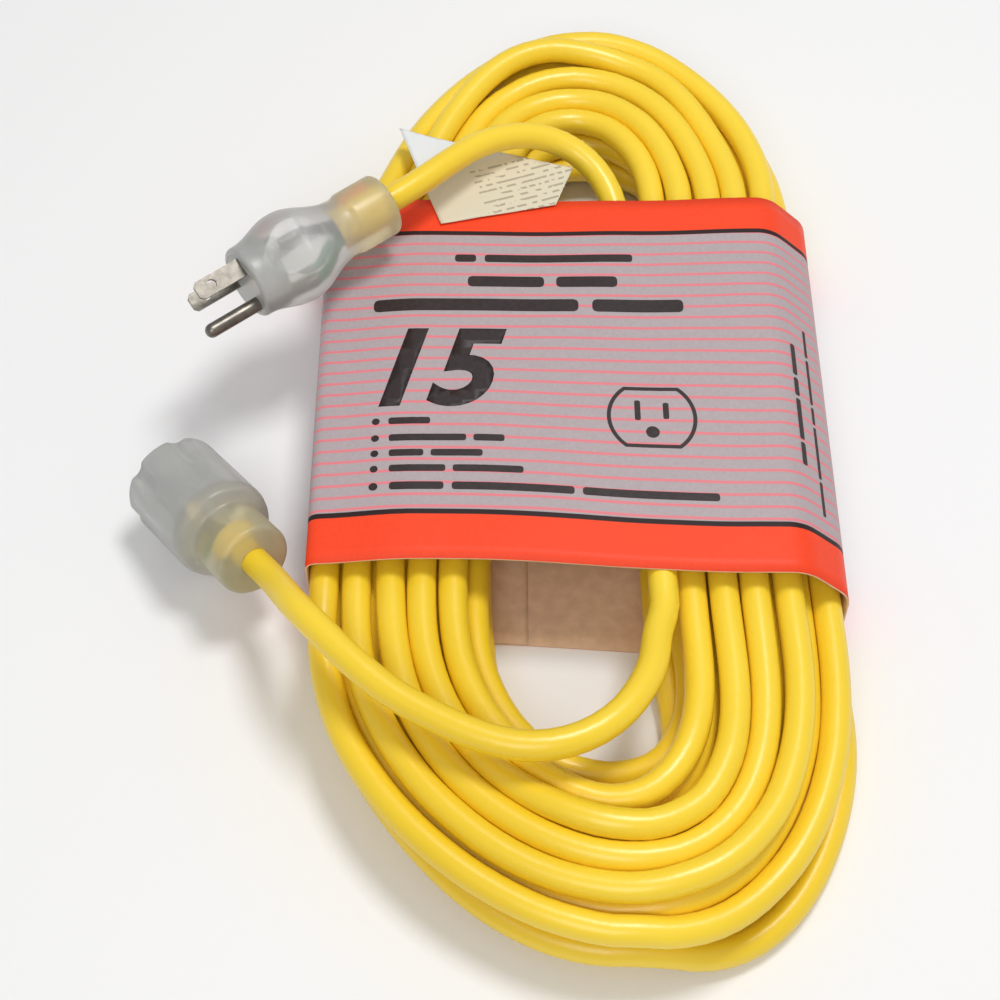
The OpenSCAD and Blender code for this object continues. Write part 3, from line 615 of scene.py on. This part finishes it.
plug_outline += swell(PLUG_GRIP[1], PLUG_GRIP_R, PLUG_LEN - 2.6, PLUG_FACE_R, 11)
plug_outline += round_off(PLUG_LEN, PLUG_FACE_R, PLUG_EDGE, -1)[::-1]
plug_outline += [(PLUG_LEN, INSERT_HOLE), (PLUG_LEN - FACE_DEEP, INSERT_HOLE),
                 (PLUG_LEN - FACE_DEEP, 0)]
plug_moulding = turned(plug_outline, 96)
bpy.ops.object.mode_set(mode="EDIT")
for side in (-1, 1):
    slice_at((0, side * PLUG_FLAT, 0), (0, side, 0), use_fill=True, clear_outer=True)
    select_edges(plug_moulding,
                 lambda e: all(abs(abs(v.co.y) / MM - PLUG_FLAT) < 0.01 for v in e.verts)
                 and all(v.co.y * side > 0 for v in e.verts))
    bpy.ops.mesh.bevel(offset=FLAT_EDGE * MM, segments=3, affect="EDGES")
bpy.ops.object.mode_set(mode="OBJECT")
put_in_place(plug_moulding, PLUG_AT, PLUG_ROLL, 0.0, PLUG_YAW)

# %% Connector moulding
CONN_LEN, CONN_ROLL = 54.0, 20.0
CONN_COLLAR_R, CONN_HEAD_R, CARRIER_R, CARRIER_X = 12.25, 16.75, 13.0, 26.0
FLUTES, FLUTE_R, FLUTE_DEEP, FLUTE_LEN, FLUTE_RISE = 6, 5.0, 1.4, 15.0, 8
COLLAR_END, SHOULDER, HEAD_FROM, HEAD_STEP, CONN_EDGE = 16, 19.5, 21.5, 1.5, 1.8
FLUTE_FROM = CONN_LEN - FLUTE_LEN - 4
CARRIER_HOLE, CARRIER_FLOOR = CARRIER_R + 0.06, CARRIER_X + 0.3
conn_outline = [(MOUTH_DEEP, 0), (MOUTH_DEEP, CORD_HOLE), (0, CORD_HOLE)]
conn_outline += round_off(0, CONN_COLLAR_R, CONN_EDGE, 1)
conn_outline += swell(COLLAR_END, CONN_COLLAR_R, SHOULDER, CONN_HEAD_R - 0.6, 6)
conn_outline += [(HEAD_FROM + i * HEAD_STEP, CONN_HEAD_R) for i in range(21)]
conn_outline += round_off(CONN_LEN, CONN_HEAD_R, CONN_EDGE, -1)[::-1]
conn_outline += [(CONN_LEN, CARRIER_HOLE), (CARRIER_FLOOR, CARRIER_HOLE), (CARRIER_FLOOR, 0)]
connector_moulding = turned(conn_outline, 144)


def fluted(point):
    """Where a point of the barrel's front lies once its flutes are pressed in."""
    x, y, z = point / MM
    out = math.hypot(y, z)
    if out < CONN_COLLAR_R or x < FLUTE_FROM:
        return point
    angle = math.atan2(y, z)
    angle -= round(angle / (2 * math.pi / FLUTES)) * (2 * math.pi / FLUTES)
    centre = CONN_HEAD_R + FLUTE_R - FLUTE_DEEP
    inside = FLUTE_R ** 2 - (centre * math.sin(angle)) ** 2
    if inside <= 0:
        return point
    cut = centre * math.cos(angle) - math.sqrt(inside)
    rise = smooth01((x - FLUTE_FROM) / FLUTE_RISE)
    pressed = out - max(0.0, CONN_HEAD_R - cut) * rise
    return Vector((x, y * pressed / out, z * pressed / out)) * MM


for vertex in connector_moulding.data.vertices:
    vertex.co = fluted(vertex.co)
put_in_place(connector_moulding, CONNECTOR_AT, CONN_ROLL, CONNECTOR_TIP, CONNECTOR_YAW)

# %% Materials: milky vinyl, metal, and what is inside
MILKY_BUMP = (420.0, 0.0002, 0.25)
SKIN_CLEAR, SKIN_ROUGH, VINYL_IOR = 0.66, 0.33, 1.45
YELLOW_TO, YELLOW_GONE, YELLOW_SHARE, YELLOW_CLOUD = 0.13, 0.27, 0.75, 0.06


def milky_vinyl(name, low, high, clear, rough):
    return plain_material(name, low, high, (60.0, 3.0), MILKY_BUMP,
                          Transmission_Weight=clear, Roughness=rough, IOR=VINYL_IOR)


def metal(name, low, high, rough):
    return plain_material(name, low, high, (500.0, 4.0), (1200.0, 0.0001, 0.3),
                          Metallic=1.0, Roughness=rough)


def plastic(name, low, high, rough):
    return plain_material(name, low, high, (300.0, 3.0), (900.0, 0.0001, 0.3), Roughness=rough)


def dress(material, *names):
    """Give CAD nodes a finish; their shape and place stay as they are."""
    for name in names:
        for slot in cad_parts[name].material_slots:
            slot.material = material


def moulding_skin():
    """Milky vinyl that takes on the jacket's yellow where the jacket lies inside it."""
    material, tree, shader = new_material("clear_moulding")
    _, along, _ = uv_place(tree, "along")
    along = math_node(tree, "MULTIPLY_ADD", noise_of(tree, 110.0), YELLOW_CLOUD, along)
    near_jacket = fade(tree, along, "SMOOTHSTEP",
                       From_Min=YELLOW_TO, From_Max=YELLOW_GONE, To_Min=1.0, To_Max=0.0)
    grey = mix_in(tree, noise_of(tree, 70.0, 3.0), (0.66, 0.67, 0.65), (0.84, 0.84, 0.81))
    tint = math_node(tree, "MULTIPLY", near_jacket, YELLOW_SHARE)
    tree.links.new(mix_in(tree, tint, grey, (0.86, 0.77, 0.40)), shader.inputs["Base Color"])
    fine_bump(tree, shader, *MILKY_BUMP)
    set_values(shader, Transmission_Weight=SKIN_CLEAR, Roughness=SKIN_ROUGH, IOR=VINYL_IOR)
    return material


clear_skin = moulding_skin()
finish_piece(plug_moulding, "plug_moulding", "plug", clear_skin)
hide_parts("plug_body")
finish_piece(connector_moulding, "connector_moulding", "connector", clear_skin)
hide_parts("connector_body")
dress(milky_vinyl("milky_insert", (0.86, 0.87, 0.85), (0.95, 0.95, 0.93), 0.70, 0.26),
      "plug_bridge", "contact_carrier")
dress(metal("nickel_plate", (0.19, 0.175, 0.15), (0.27, 0.25, 0.215), 0.40),
      "plug_line_blade", "plug_neutral_blade", "plug_ground_pin")
dress(metal("spring_brass", (0.50, 0.36, 0.16), (0.62, 0.46, 0.22), 0.34),
      "line_contact", "neutral_contact", "ground_contact")
dress(metal("bare_copper", (0.55, 0.22, 0.10), (0.68, 0.30, 0.15), 0.4),
      "plug_wire_cores", "connector_wire_cores")
dress(metal("tinned_wire", (0.52, 0.52, 0.50), (0.64, 0.64, 0.62), 0.38), "lamp_leads")
dress(plastic("black_insulation", (0.012, 0.012, 0.012), (0.030, 0.030, 0.032), 0.45),
      "plug_line_wire", "connector_line_wire")
dress(plastic("white_insulation", (0.66, 0.65, 0.62), (0.76, 0.75, 0.72), 0.45),
      "plug_neutral_wire", "connector_neutral_wire")
dress(plastic("green_insulation", (0.02, 0.17, 0.06), (0.04, 0.24, 0.09), 0.45),
      "plug_ground_wire", "connector_ground_wire")
dress(plastic("resistor_body", (0.38, 0.27, 0.15), (0.48, 0.35, 0.21), 0.6), "lamp_resistor")
dress(milky_vinyl("lamp_glass", (0.85, 0.60, 0.50), (0.92, 0.70, 0.60), 0.85, 0.08), "neon_lamp")
dress(plastic("dried_glue", (0.52, 0.46, 0.34), (0.62, 0.56, 0.42), 0.6), "sleeve_glue")
dress(yellow_vinyl, "plug_jacket_end", "connector_jacket_end")

# %% [markdown]
# The hank is held by a printed sleeve: one strip of thin card, folded round the turns and
# glued to itself underneath. A cube without its ends would do from far away. Here the strip
# is folded as the real one is: one panel is drawn, and its edges are pulled on, round the
# corners, until they overlap under the hank. At the right the card slopes, because the top
# layer of cord lies further in. The print needs the distance round the card, so each panel
# gets UVs in units of 100 mm before the card is given its slack.

# %% Card sleeve: fold the strip
FLAP_X0, FLAP_W, GLUE_T = -31.5, 16.0, 0.1
FOLD_ROUND, CREASE_ROUND = 3.6, 4.5
CUTS_ALONG, CUTS_WIDE, CUTS_NARROW, WIDE = 29, 31, 7, 100
SLEEVE_FAR = SLEEVE_MID_Y + SLEEVE_LEN / 2


def at_section(edge, x, z):
    """An edge that runs along the hank, through this place of the card's section."""
    return all(abs(v.co.x / MM - x) < 0.02 and abs(v.co.z / MM - z) < 0.02 for v in edge.verts)


def pull_on(piece, start, *stops):
    """Pull the edge at start on through the stops, each a place (x, z) in the section."""
    bpy.ops.mesh.select_mode(type="EDGE")
    select_edges(piece, lambda e: at_section(e, *start))
    for stop in stops:
        step = ((stop[0] - start[0]) * MM, 0, (stop[1] - start[1]) * MM)
        bpy.ops.mesh.extrude_edges_move(TRANSFORM_OT_translate={"value": step})
        start = stop


half_w, fold_x = SLEEVE_HALF_W, FOLD_X
seam_x = FLAP_X0 - 2 * CARD_T
sleeve = new_plane()
bpy.ops.transform.resize(value=(half_w + fold_x, SLEEVE_LEN, 1))
bpy.ops.transform.translate(
    value=((fold_x - half_w) / 2 * MM, SLEEVE_MID_Y * MM, SLEEVE_TOP * MM))
pull_on(sleeve, (fold_x, SLEEVE_TOP), (half_w, SLOPE_Z), (half_w, 0), (FLAP_X0, 0))
pull_on(sleeve, (-half_w, SLEEVE_TOP), (-half_w, 0), (seam_x - CARD_T, 0),
        (FLAP_X0 - CARD_T, CARD_T + GLUE_T), (FLAP_X0 + FLAP_W, CARD_T + GLUE_T))
corners = ((-half_w, SLEEVE_TOP), (-half_w, 0), (half_w, 0))
select_edges(sleeve, lambda e: any(at_section(e, *c) for c in corners))
bpy.ops.mesh.bevel(offset=FOLD_ROUND * MM, segments=4, affect="EDGES")
creases = ((fold_x, SLEEVE_TOP), (half_w, SLOPE_Z))
select_edges(sleeve, lambda e: any(at_section(e, *c) for c in creases))
bpy.ops.mesh.bevel(offset=CREASE_ROUND * MM, segments=4, affect="EDGES")


def runs_along(edge):
    return abs(edge.verts[0].co.y - edge.verts[1].co.y) > 2 * MM


select_edges(sleeve, runs_along)
bpy.ops.mesh.subdivide(number_cuts=CUTS_ALONG)
select_edges(sleeve, lambda e: not runs_along(e) and e.calc_length() > WIDE * MM)
bpy.ops.mesh.subdivide(number_cuts=CUTS_WIDE)
select_edges(sleeve, lambda e: not runs_along(e) and WIDE * MM >= e.calc_length() > 10 * MM)
bpy.ops.mesh.subdivide(number_cuts=CUTS_NARROW)
bpy.ops.mesh.select_all(action="SELECT")
bpy.ops.mesh.normals_make_consistent(inside=False)
bpy.ops.object.mode_set(mode="OBJECT")
print("folded card has", len(sleeve.data.polygons), "faces")

# %% Card sleeve: distance round the card, as UVs
def round_card(x, z):
    """Distance round the card in mm, equal to x on the top panel."""
    if z < 1.5 and x < half_w - 1:
        return half_w + SLEEVE_TOP + half_w - x if x > FLAP_X0 - 3 else -2 * half_w - SLEEVE_TOP - x
    if x > fold_x - 5 and z > SLOPE_Z:
        return fold_x + math.copysign(math.hypot(x - fold_x, SLEEVE_TOP - z), x - fold_x)
    if x > half_w - 4:
        return fold_x + math.hypot(half_w - fold_x, SLEEVE_TOP - SLOPE_Z) + SLOPE_Z - z
    if x < -half_w + 4 and z < SLEEVE_TOP - 0.1:
        return -half_w - (SLEEVE_TOP - z)
    return x


def map_card(piece):
    uv_map = piece.data.uv_layers.new(name="round_card")
    for corner in piece.data.loops:
        x, y, z = piece.data.vertices[corner.vertex_index].co / MM
        uv_map.data[corner.index].uv = (round_card(x, z) / UV_UNIT, y / UV_UNIT)


map_card(sleeve)

# %% Card sleeve: its slack, shared with all that is printed on it
NEAR_PULL, NEAR_SKEW, FAR_RIGHT, FAR_LEFT, UNDER_PULL = 1.0, 5.2, 1.8, 0.9, 6.5
RIPPLE, TOP_FROM, UNDER_TO = 0.45, 0.85, 1.5


def card_give(x, y, z):
    """Where a point of the true, flat-sided sleeve lies on the real, slack one (mm)."""
    height = clamp01(z / SLEEVE_TOP)
    towards_near = clamp01((SLEEVE_FAR - y) / SLEEVE_LEN)
    skew = smooth01((x + 45) / 100)
    y -= (NEAR_PULL + NEAR_SKEW * skew) * smooth01((towards_near - 0.1) / 0.8)
    far_edge = FAR_RIGHT * smooth01((x - 20) / 50) - FAR_LEFT * smooth01((x + 60) / 50)
    y += far_edge * (1 - towards_near) ** 2
    if z < UNDER_TO:
        y -= (UNDER_PULL * smooth01((towards_near - 0.6) / 0.4)
              * smooth01((half_w - 4 - abs(x)) / 24))
    if height > TOP_FROM:
        z -= LEFT_DROP * smooth01((LEFT_FOLD_X + 12 - x) / (half_w + LEFT_FOLD_X + 12))
        ripple = noise.noise(Vector((x / 26, y / 60, 3.7)))
        z += RIPPLE * ripple * smooth01((height - TOP_FROM) / 0.1)
    else:
        z -= LEFT_DROP * height * (1 if x < -half_w + 5 else 0)
    return x, y, z


def lay_on_card(piece):
    for vertex in piece.data.vertices:
        vertex.co = Vector(card_give(*(vertex.co / MM))) * MM


def kept_on(piece, kind, name, **settings):
    """Add a modifier, set it and apply it."""
    select_only(piece)
    modifier = piece.modifiers.new(name, kind)
    for key, value in settings.items():
        setattr(modifier, key, value)
    bpy.ops.object.modifier_apply(modifier=modifier.name)


# %% [markdown]
# The print is drawn by the material, from the distances round and along the card: thin pink
# rules on grey-lilac, an orange band at each end, and a black line inside each band. A
# picture would give the same print, but these few numbers stay sharp at any size.

# %% Materials: printed card outside, kraft inside painted paler as painted light
RULE_PITCH, RULES_FROM, RULE_HALF, RULE_SOFT, RULE_WAVE = 4.53, 56.1, 0.08, 0.07, 0.012
BLACK_FAR, BLACK_NEAR, BLACK_HALF = 60.8, -55.2, 0.85
INK_PINK = (0.78, 0.22, 0.25)
INK_BLACK = (0.022, 0.010, 0.010)
# Both kraft tones are painted paler than bare kraft board: painted light for the light that reaches
# the card's inside under the sleeve; the drift between them is the board's own uneven tone
KRAFT_LIT_HIGH, KRAFT_LIT_LOW = (0.83, 0.59, 0.42), (0.73, 0.51, 0.355)


def printed_card():
    material, tree, shader = new_material("printed_card")
    uv, _, straight = uv_place(tree, "round_card")
    wavy = math_node(tree, "MULTIPLY_ADD", noise_of(tree, 2.4, 1.0, uv), RULE_WAVE, straight)
    speckle = noise_of(tree, 900.0)
    grey = mix_in(tree, speckle, (0.49, 0.42, 0.435), (0.39, 0.33, 0.34))
    # The count of rules starts at 40, so that it stays above 0 over the whole card
    count = math_node(tree, "MULTIPLY_ADD", wavy, UV_UNIT / RULE_PITCH,
                      -RULES_FROM / RULE_PITCH - 0.5 + 40)
    rules = line_mask(tree, math_node(tree, "FRACT", count), 0.5, RULE_HALF, RULE_SOFT)
    colour = mix_in(tree, rules, grey, INK_PINK)
    middle = (BLACK_FAR + BLACK_NEAR) / 2 / UV_UNIT
    half = (BLACK_FAR - BLACK_NEAR) / 2 / UV_UNIT
    from_middle = away_from(tree, straight, middle)
    band = math_node(tree, "GREATER_THAN", from_middle, half)
    orange = mix_in(tree, speckle, (1.0, 0.072, 0.017), (0.90, 0.056, 0.012))
    colour = mix_in(tree, band, colour, orange)
    line = line_mask(tree, from_middle, half, BLACK_HALF / UV_UNIT, 0.002)
    tree.links.new(mix_in(tree, line, colour, INK_BLACK), shader.inputs["Base Color"])
    fine_bump(tree, shader, 420.0, 0.0002, 0.2)
    set_values(shader, Roughness=0.5, Specular_IOR_Level=0.3)
    return material


# %% Card sleeve: slack, thickness and both its sides
sleeve.data.materials.append(printed_card())
# The inside is kraft with painted light: its colour is paler than bare board
sleeve.data.materials.append(plain_material(
    "kraft_card_painted_lit", KRAFT_LIT_LOW, KRAFT_LIT_HIGH, (220.0, 6.0), (700.0, 0.0003, 0.4),
    Roughness=0.85, Specular_IOR_Level=0.2))
lay_on_card(sleeve)
select_only(sleeve)
bpy.ops.object.shade_smooth_by_angle(angle=math.radians(35))
kept_on(sleeve, "SOLIDIFY", "card_thickness", thickness=CARD_T * MM, offset=-1.0,
        material_offset=1, material_offset_rim=1)
finish_piece(sleeve, "printed_sleeve", "sleeve")
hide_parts("card_sleeve")

# %% [markdown]
# What is printed on the card is kept plain: a large slanted number, an outlet's face, and bars
# where lines of small type would stand. Ink has no height, but a thin sheet of mesh holds sharp
# edges that no noise or UV trick gives. Each bar is a rounded plane, laid on the slack card.

# %% Ink: how it lies on the card, and rows of bars for small type
INK_LIFT, INK_THICK, INK_CELL = 0.07, 0.04, 4.0


def ink_material():
    material, tree, shader = new_material("printing_ink")
    drifting_colour(tree, shader, (0.014, 0.007, 0.007), (0.028, 0.014, 0.014), 700.0, 4.0)
    set_values(shader, Roughness=0.5)
    return material


def inked(piece, on_slope=False):
    """Turn a flat mesh at the origin's height into ink that lies on the card."""
    select_only(piece)
    bpy.ops.object.mode_set(mode="EDIT")
    for across, size in (((1.0, 0.0, 0.0), half_w), ((0.0, 1.0, 0.0), SLEEVE_LEN / 2)):
        for place in np.arange(-size, size, INK_CELL):
            slice_at([place * a for a in across], across)
    bpy.ops.mesh.select_all(action="SELECT")
    bpy.ops.transform.translate(value=(0, 0, (SLEEVE_TOP + INK_LIFT) * MM))
    if on_slope:
        turn = math.atan2(SLEEVE_TOP - SLOPE_Z, half_w - fold_x)
        bpy.ops.transform.rotate(value=-turn, orient_axis="Y",
                                 center_override=(fold_x * MM, 0, SLEEVE_TOP * MM))
    bpy.ops.object.mode_set(mode="OBJECT")
    lay_on_card(piece)
    kept_on(piece, "SOLIDIFY", "ink_thickness", thickness=INK_THICK * MM, offset=-1.0)
    return piece


def bar(x0, x1, y, tall):
    """A flat bar of ink with rounded corners, from x0 to x1."""
    piece = new_plane()
    bpy.ops.transform.resize(value=(x1 - x0, tall, 1))
    bpy.ops.transform.translate(value=((x0 + x1) / 2 * MM, y * MM, 0))
    bpy.ops.mesh.bevel(offset=0.3 * min(x1 - x0, tall) * MM, segments=2, affect="VERTICES")
    bpy.ops.object.mode_set(mode="OBJECT")
    return piece


def disc(x, y, radius, corners):
    bpy.ops.mesh.primitive_circle_add(vertices=corners, radius=radius * MM, fill_type="NGON",
                                      location=(x * MM, y * MM, 0))
    piece = bpy.context.active_object
    apply_place(piece)
    return piece


def joined(pieces):
    select_only(*pieces[1:], pieces[0])
    bpy.ops.object.join()
    return bpy.context.active_object


def row_of_bars(x0, x1, y, tall, shares):
    """Bars with gaps between them, as words stand in a line; shares are their lengths."""
    gap = 0.9 * tall
    room = x1 - x0 - gap * (len(shares) - 1)
    x, row = x0, []
    for share in shares:
        wide = room * share / sum(shares)
        row.append(bar(x, x + wide, y, tall))
        x += wide + gap
    return row


DOTS_X = -64.6
ROWS = ((-39.8, 21.0, 49.2, 3.3, (1, 7)), (-35.3, 15.5, 38.8, 4.6, (5, 4)),
        (-67.0, 37.4, 28.5, 5.2, (9, 4)), (-60.5, -47.0, -19.9, 2.6, (1,)),
        (-60.2, -23.0, -26.6, 2.6, (5, 2)), (-60.0, -30.0, -32.6, 2.6, (2, 3)),
        (-59.8, -17.0, -38.6, 2.6, (4, 5)), (-59.5, 44.6, -45.4, 2.9, (4, 9, 10)))
small_type = [piece for row in ROWS for piece in row_of_bars(*row)]
small_type += [disc(DOTS_X, y, 0.5 * tall, 12) for _, _, y, tall, _ in ROWS[3:]]
type_bars = inked(joined(small_type))
ink = ink_material()
finish_piece(type_bars, "type_bars", "sleeve", ink)

# %% Ink: the large number
BIG_NUMBER, NUMBER_TALL, NUMBER_SLANT, NUMBER_WEIGHT = "15", 31.0, 0.28, 1.3
NUMBER_LEFT, NUMBER_BASE = -64.0, -12.6
DIGIT_SHARE = 0.72          # of the font's size
bpy.ops.object.select_all(action="DESELECT")
bpy.ops.object.text_add(location=(0, 0, 0))
number = bpy.context.active_object
number.data.body = BIG_NUMBER
number.data.size = NUMBER_TALL / DIGIT_SHARE * MM
number.data.shear = NUMBER_SLANT
number.data.offset = NUMBER_WEIGHT * MM
number.data.resolution_u = 6
bpy.ops.object.convert(target="MESH")
left_edge = min(v.co.x for v in number.data.vertices)
number.location = (NUMBER_LEFT * MM - left_edge, NUMBER_BASE * MM, 0)
apply_place(number)
print("number spans", [round(v * 1000, 1) for v in number.dimensions])
number = inked(number)
finish_piece(number, "large_number", "sleeve", ink)

# %% Ink: an outlet's face, cut off above and below, with its three openings
FACE_X, FACE_Y, FACE_R, FACE_FLAT, FACE_LINE = 24.7, -16.0, 14.6, 11.6, 1.3
FACE_SLOTS, SLOT_HALF, SLOT_UP = ((-4.6, 7.6), (4.6, 6.2)), 0.95, 2.6
HOLE_DOWN, HOLE_R = 5.6, 2.2


def outlet_face():
    piece = disc(0, 0, FACE_R, 64)
    bpy.ops.object.mode_set(mode="EDIT")
    for side in (-1, 1):
        slice_at((0, side * FACE_FLAT, 0), (0, side, 0), clear_outer=True)
    bpy.ops.mesh.select_all(action="SELECT")
    bpy.ops.mesh.inset(thickness=FACE_LINE * MM)
    bpy.ops.mesh.delete(type="FACE")
    bpy.ops.mesh.select_all(action="SELECT")
    bpy.ops.transform.translate(value=(FACE_X * MM, FACE_Y * MM, 0))
    bpy.ops.object.mode_set(mode="OBJECT")
    return piece


face_parts = [outlet_face()]
for x, tall in FACE_SLOTS:
    face_parts.append(bar(FACE_X + x - SLOT_HALF, FACE_X + x + SLOT_HALF, FACE_Y + SLOT_UP, tall))
face_parts.append(disc(FACE_X, FACE_Y - HOLE_DOWN, HOLE_R, 24))
face = inked(joined(face_parts))
finish_piece(face, "outlet_sign", "sleeve", ink)

# %% Ink: two columns of bars down the slope
SLOPE_COLUMNS = ((3.4, 5.6, 15.0, -31.0, (7, 4, 9, 5)), (11.2, 12.6, 24.0, -47.0, (5, 8, 3, 9, 6)))
SLOPE_GAP = 1.2
slope_type = []
for from_fold, to_fold, y, near, shares in SLOPE_COLUMNS:
    room = y - near - SLOPE_GAP * (len(shares) - 1)
    for share in shares:
        tall = room * share / sum(shares)
        slope_type.append(bar(fold_x + from_fold, fold_x + to_fold, y - tall / 2, tall))
        y -= tall + SLOPE_GAP
slope_bars = inked(joined(slope_type), on_slope=True)
finish_piece(slope_bars, "slope_bars", "sleeve", ink)

# %% [markdown]
# A paper tag is caught between the far turns, under the plug's lead. Flat paper on round turns
# looks dead, so the sheet is cut from a plane, curled a little at its free corners, and given
# thickness. Its small print is only rows of faint dashes.

# %% Paper tag
TAG_X, TAG_Y, TAG_YAW, TAG_SIDE, TAG_T = -43.8, 64.7, math.radians(19), 53.0, 0.2
TAG_CUTS = (((16.4, 35.2), (0.59, 0.81)), ((50.0, 8.0), (0.78, -0.63)),
            ((-0.9, -0.3), (-0.11, -0.99)))
TAG_Z, TAG_CURL, TAG_WAVE, TAG_BASE = SLEEVE_TOP + 0.55, 0.9, 0.25, 0.25
tag = new_plane(TAG_SIDE * MM)
tag_middle = (TAG_SIDE / 2 - 1.2, TAG_SIDE / 2 - 5.0)
bpy.ops.transform.translate(value=(tag_middle[0] * MM, tag_middle[1] * MM, 0))
bpy.ops.mesh.subdivide(number_cuts=31)
for place, across in TAG_CUTS:
    slice_at((*place, 0), (*across, 0), clear_outer=True)
bpy.ops.object.mode_set(mode="OBJECT")
tag_map = tag.data.uv_layers.new(name="on_tag")
for corner in tag.data.loops:
    spot = tag.data.vertices[corner.vertex_index].co / MM
    tag_map.data[corner.index].uv = (spot.x / UV_UNIT, spot.y / UV_UNIT)
for vertex in tag.data.vertices:
    x, y, _ = vertex.co / MM
    lift = TAG_CURL * smooth01((9 - x) / 9) * smooth01((y - 22) / 18)
    lift += TAG_WAVE * noise.noise(Vector((x / 14, y / 14, 1.3)))
    vertex.co.z += (lift + TAG_BASE) * MM
select_only(tag)
bpy.ops.object.shade_smooth()
kept_on(tag, "SOLIDIFY", "paper_thickness", thickness=TAG_T * MM, offset=-1.0)
tag.location = Vector((TAG_X, TAG_Y, TAG_Z)) * MM
tag.rotation_euler = (0, 0, TAG_YAW)
apply_place(tag)


# %% Material: cream paper, paler and bluer at its far end, with rows of faint dashes
DASH_PITCH, DASH_HALF, DASH_SOFT, DASH_SHARE, DASH_DARK = 2.6, 0.14, 0.08, 0.47, 0.75
DASH_STRETCH = (55.0, 38.5, 1.0)
PRINT_LEFT, PRINT_FAR = 0.16, 0.20


def tag_paper():
    material, tree, shader = new_material("tag_paper")
    uv, x, y = uv_place(tree, "on_tag")
    # From 22 to 26 mm along the tag's map the paper turns from cream to a paler, bluer white
    far_end = fade(tree, y, From_Min=0.22, From_Max=0.26)
    paper = mix_in(tree, far_end, (0.72, 0.66, 0.50), (0.78, 0.80, 0.80))
    row = math_node(tree, "FRACT", math_node(tree, "MULTIPLY", y, UV_UNIT / DASH_PITCH))
    stretch = add_node(tree, "ShaderNodeMapping")
    set_values(stretch, Scale=DASH_STRETCH)
    tree.links.new(uv, stretch.inputs["Vector"])
    dashes = noise_of(tree, 1.0, 0.0, stretch.outputs["Vector"])
    mask = line_mask(tree, row, 0.5, DASH_HALF, DASH_SOFT)
    for part in (math_node(tree, "GREATER_THAN", dashes, DASH_SHARE),
                 math_node(tree, "GREATER_THAN", x, PRINT_LEFT),
                 math_node(tree, "LESS_THAN", y, PRINT_FAR), DASH_DARK):
        mask = math_node(tree, "MULTIPLY", mask, part)
    tree.links.new(mix_in(tree, mask, paper, (0.34, 0.29, 0.20)), shader.inputs["Base Color"])
    fine_bump(tree, shader, 800.0, 0.0001, 0.3)
    set_values(shader, Roughness=0.6)
    return material


finish_piece(tag, "paper_tag", "hank", tag_paper())
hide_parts("cord_label")

# %% [markdown]
# The stage is a pale floor under soft light from above. One lamp would leave the turns' near
# sides dull, so a weaker one stands over the near end. Far from the object, where the lamps no
# longer reach, the floor is drawn as pale as the background; near it, it keeps the shadow.

# %% Floor and lights
BACKGROUND, WORLD_LIGHT = 0.92, 0.42
SHADOW_KEPT, ALL_PALE = 0.42, 0.95      # metres from the middle of the floor
bpy.ops.mesh.primitive_plane_add(size=6.0, location=(0, 0, -0.0002))
floor = bpy.context.active_object
floor.name = "floor"
floor_paint, tree, shader = new_material("pale_floor")
set_values(shader, Base_Color=(0.90, 0.90, 0.90, 1), Roughness=0.9, Specular_IOR_Level=0.1)
place = add_node(tree, "ShaderNodeTexCoord")
from_object = add_node(tree, "ShaderNodeVectorMath", operation="LENGTH")
tree.links.new(place.outputs["Object"], from_object.inputs[0])
far_off = fade(tree, from_object.outputs["Value"], "SMOOTHSTEP",
               From_Min=SHADOW_KEPT, From_Max=ALL_PALE)
seen = add_node(tree, "ShaderNodeLightPath")
pale = add_node(tree, "ShaderNodeEmission")
set_values(pale, Strength=BACKGROUND)
blend = add_node(tree, "ShaderNodeMixShader")
tree.links.new(math_node(tree, "MULTIPLY", far_off, seen.outputs["Is Camera Ray"]),
               blend.inputs["Fac"])
tree.links.new(shader.outputs["BSDF"], blend.inputs[1])
tree.links.new(pale.outputs["Emission"], blend.inputs[2])
tree.links.new(blend.outputs["Shader"], tree.nodes["Material Output"].inputs["Surface"])
floor.data.materials.append(floor_paint)


def soft_lamp(name, place, size, power):
    data = bpy.data.lights.new(name, "AREA")
    data.shape = "DISK"
    data.size = size
    data.energy = power
    lamp = bpy.data.objects.new(name, data)
    lamp.location = place
    lamp.rotation_euler = Vector(place).to_track_quat("Z", "Y").to_euler()
    bpy.context.scene.collection.objects.link(lamp)


soft_lamp("key_lamp", (0.25, 0.20, 1.3), 0.40, 8.4)
soft_lamp("near_lamp", (-0.15, -0.85, 1.0), 0.6, 4.0)
world = bpy.data.worlds.new("studio")
world.use_nodes = True
tree = world.node_tree
set_values(tree.nodes["Background"], Color=(1, 1, 1, 1))
seen = add_node(tree, "ShaderNodeLightPath")
seen_or_through = math_node(tree, "MAXIMUM", seen.outputs["Is Camera Ray"],
                            seen.outputs["Is Transmission Ray"])
strength = fade(tree, seen_or_through, To_Min=WORLD_LIGHT, To_Max=BACKGROUND)
tree.links.new(strength, tree.nodes["Background"].inputs["Strength"])
bpy.context.scene.world = world
bpy.context.scene.view_settings.view_transform = "Standard"

# %% The end
bpy.context.view_layer.update()
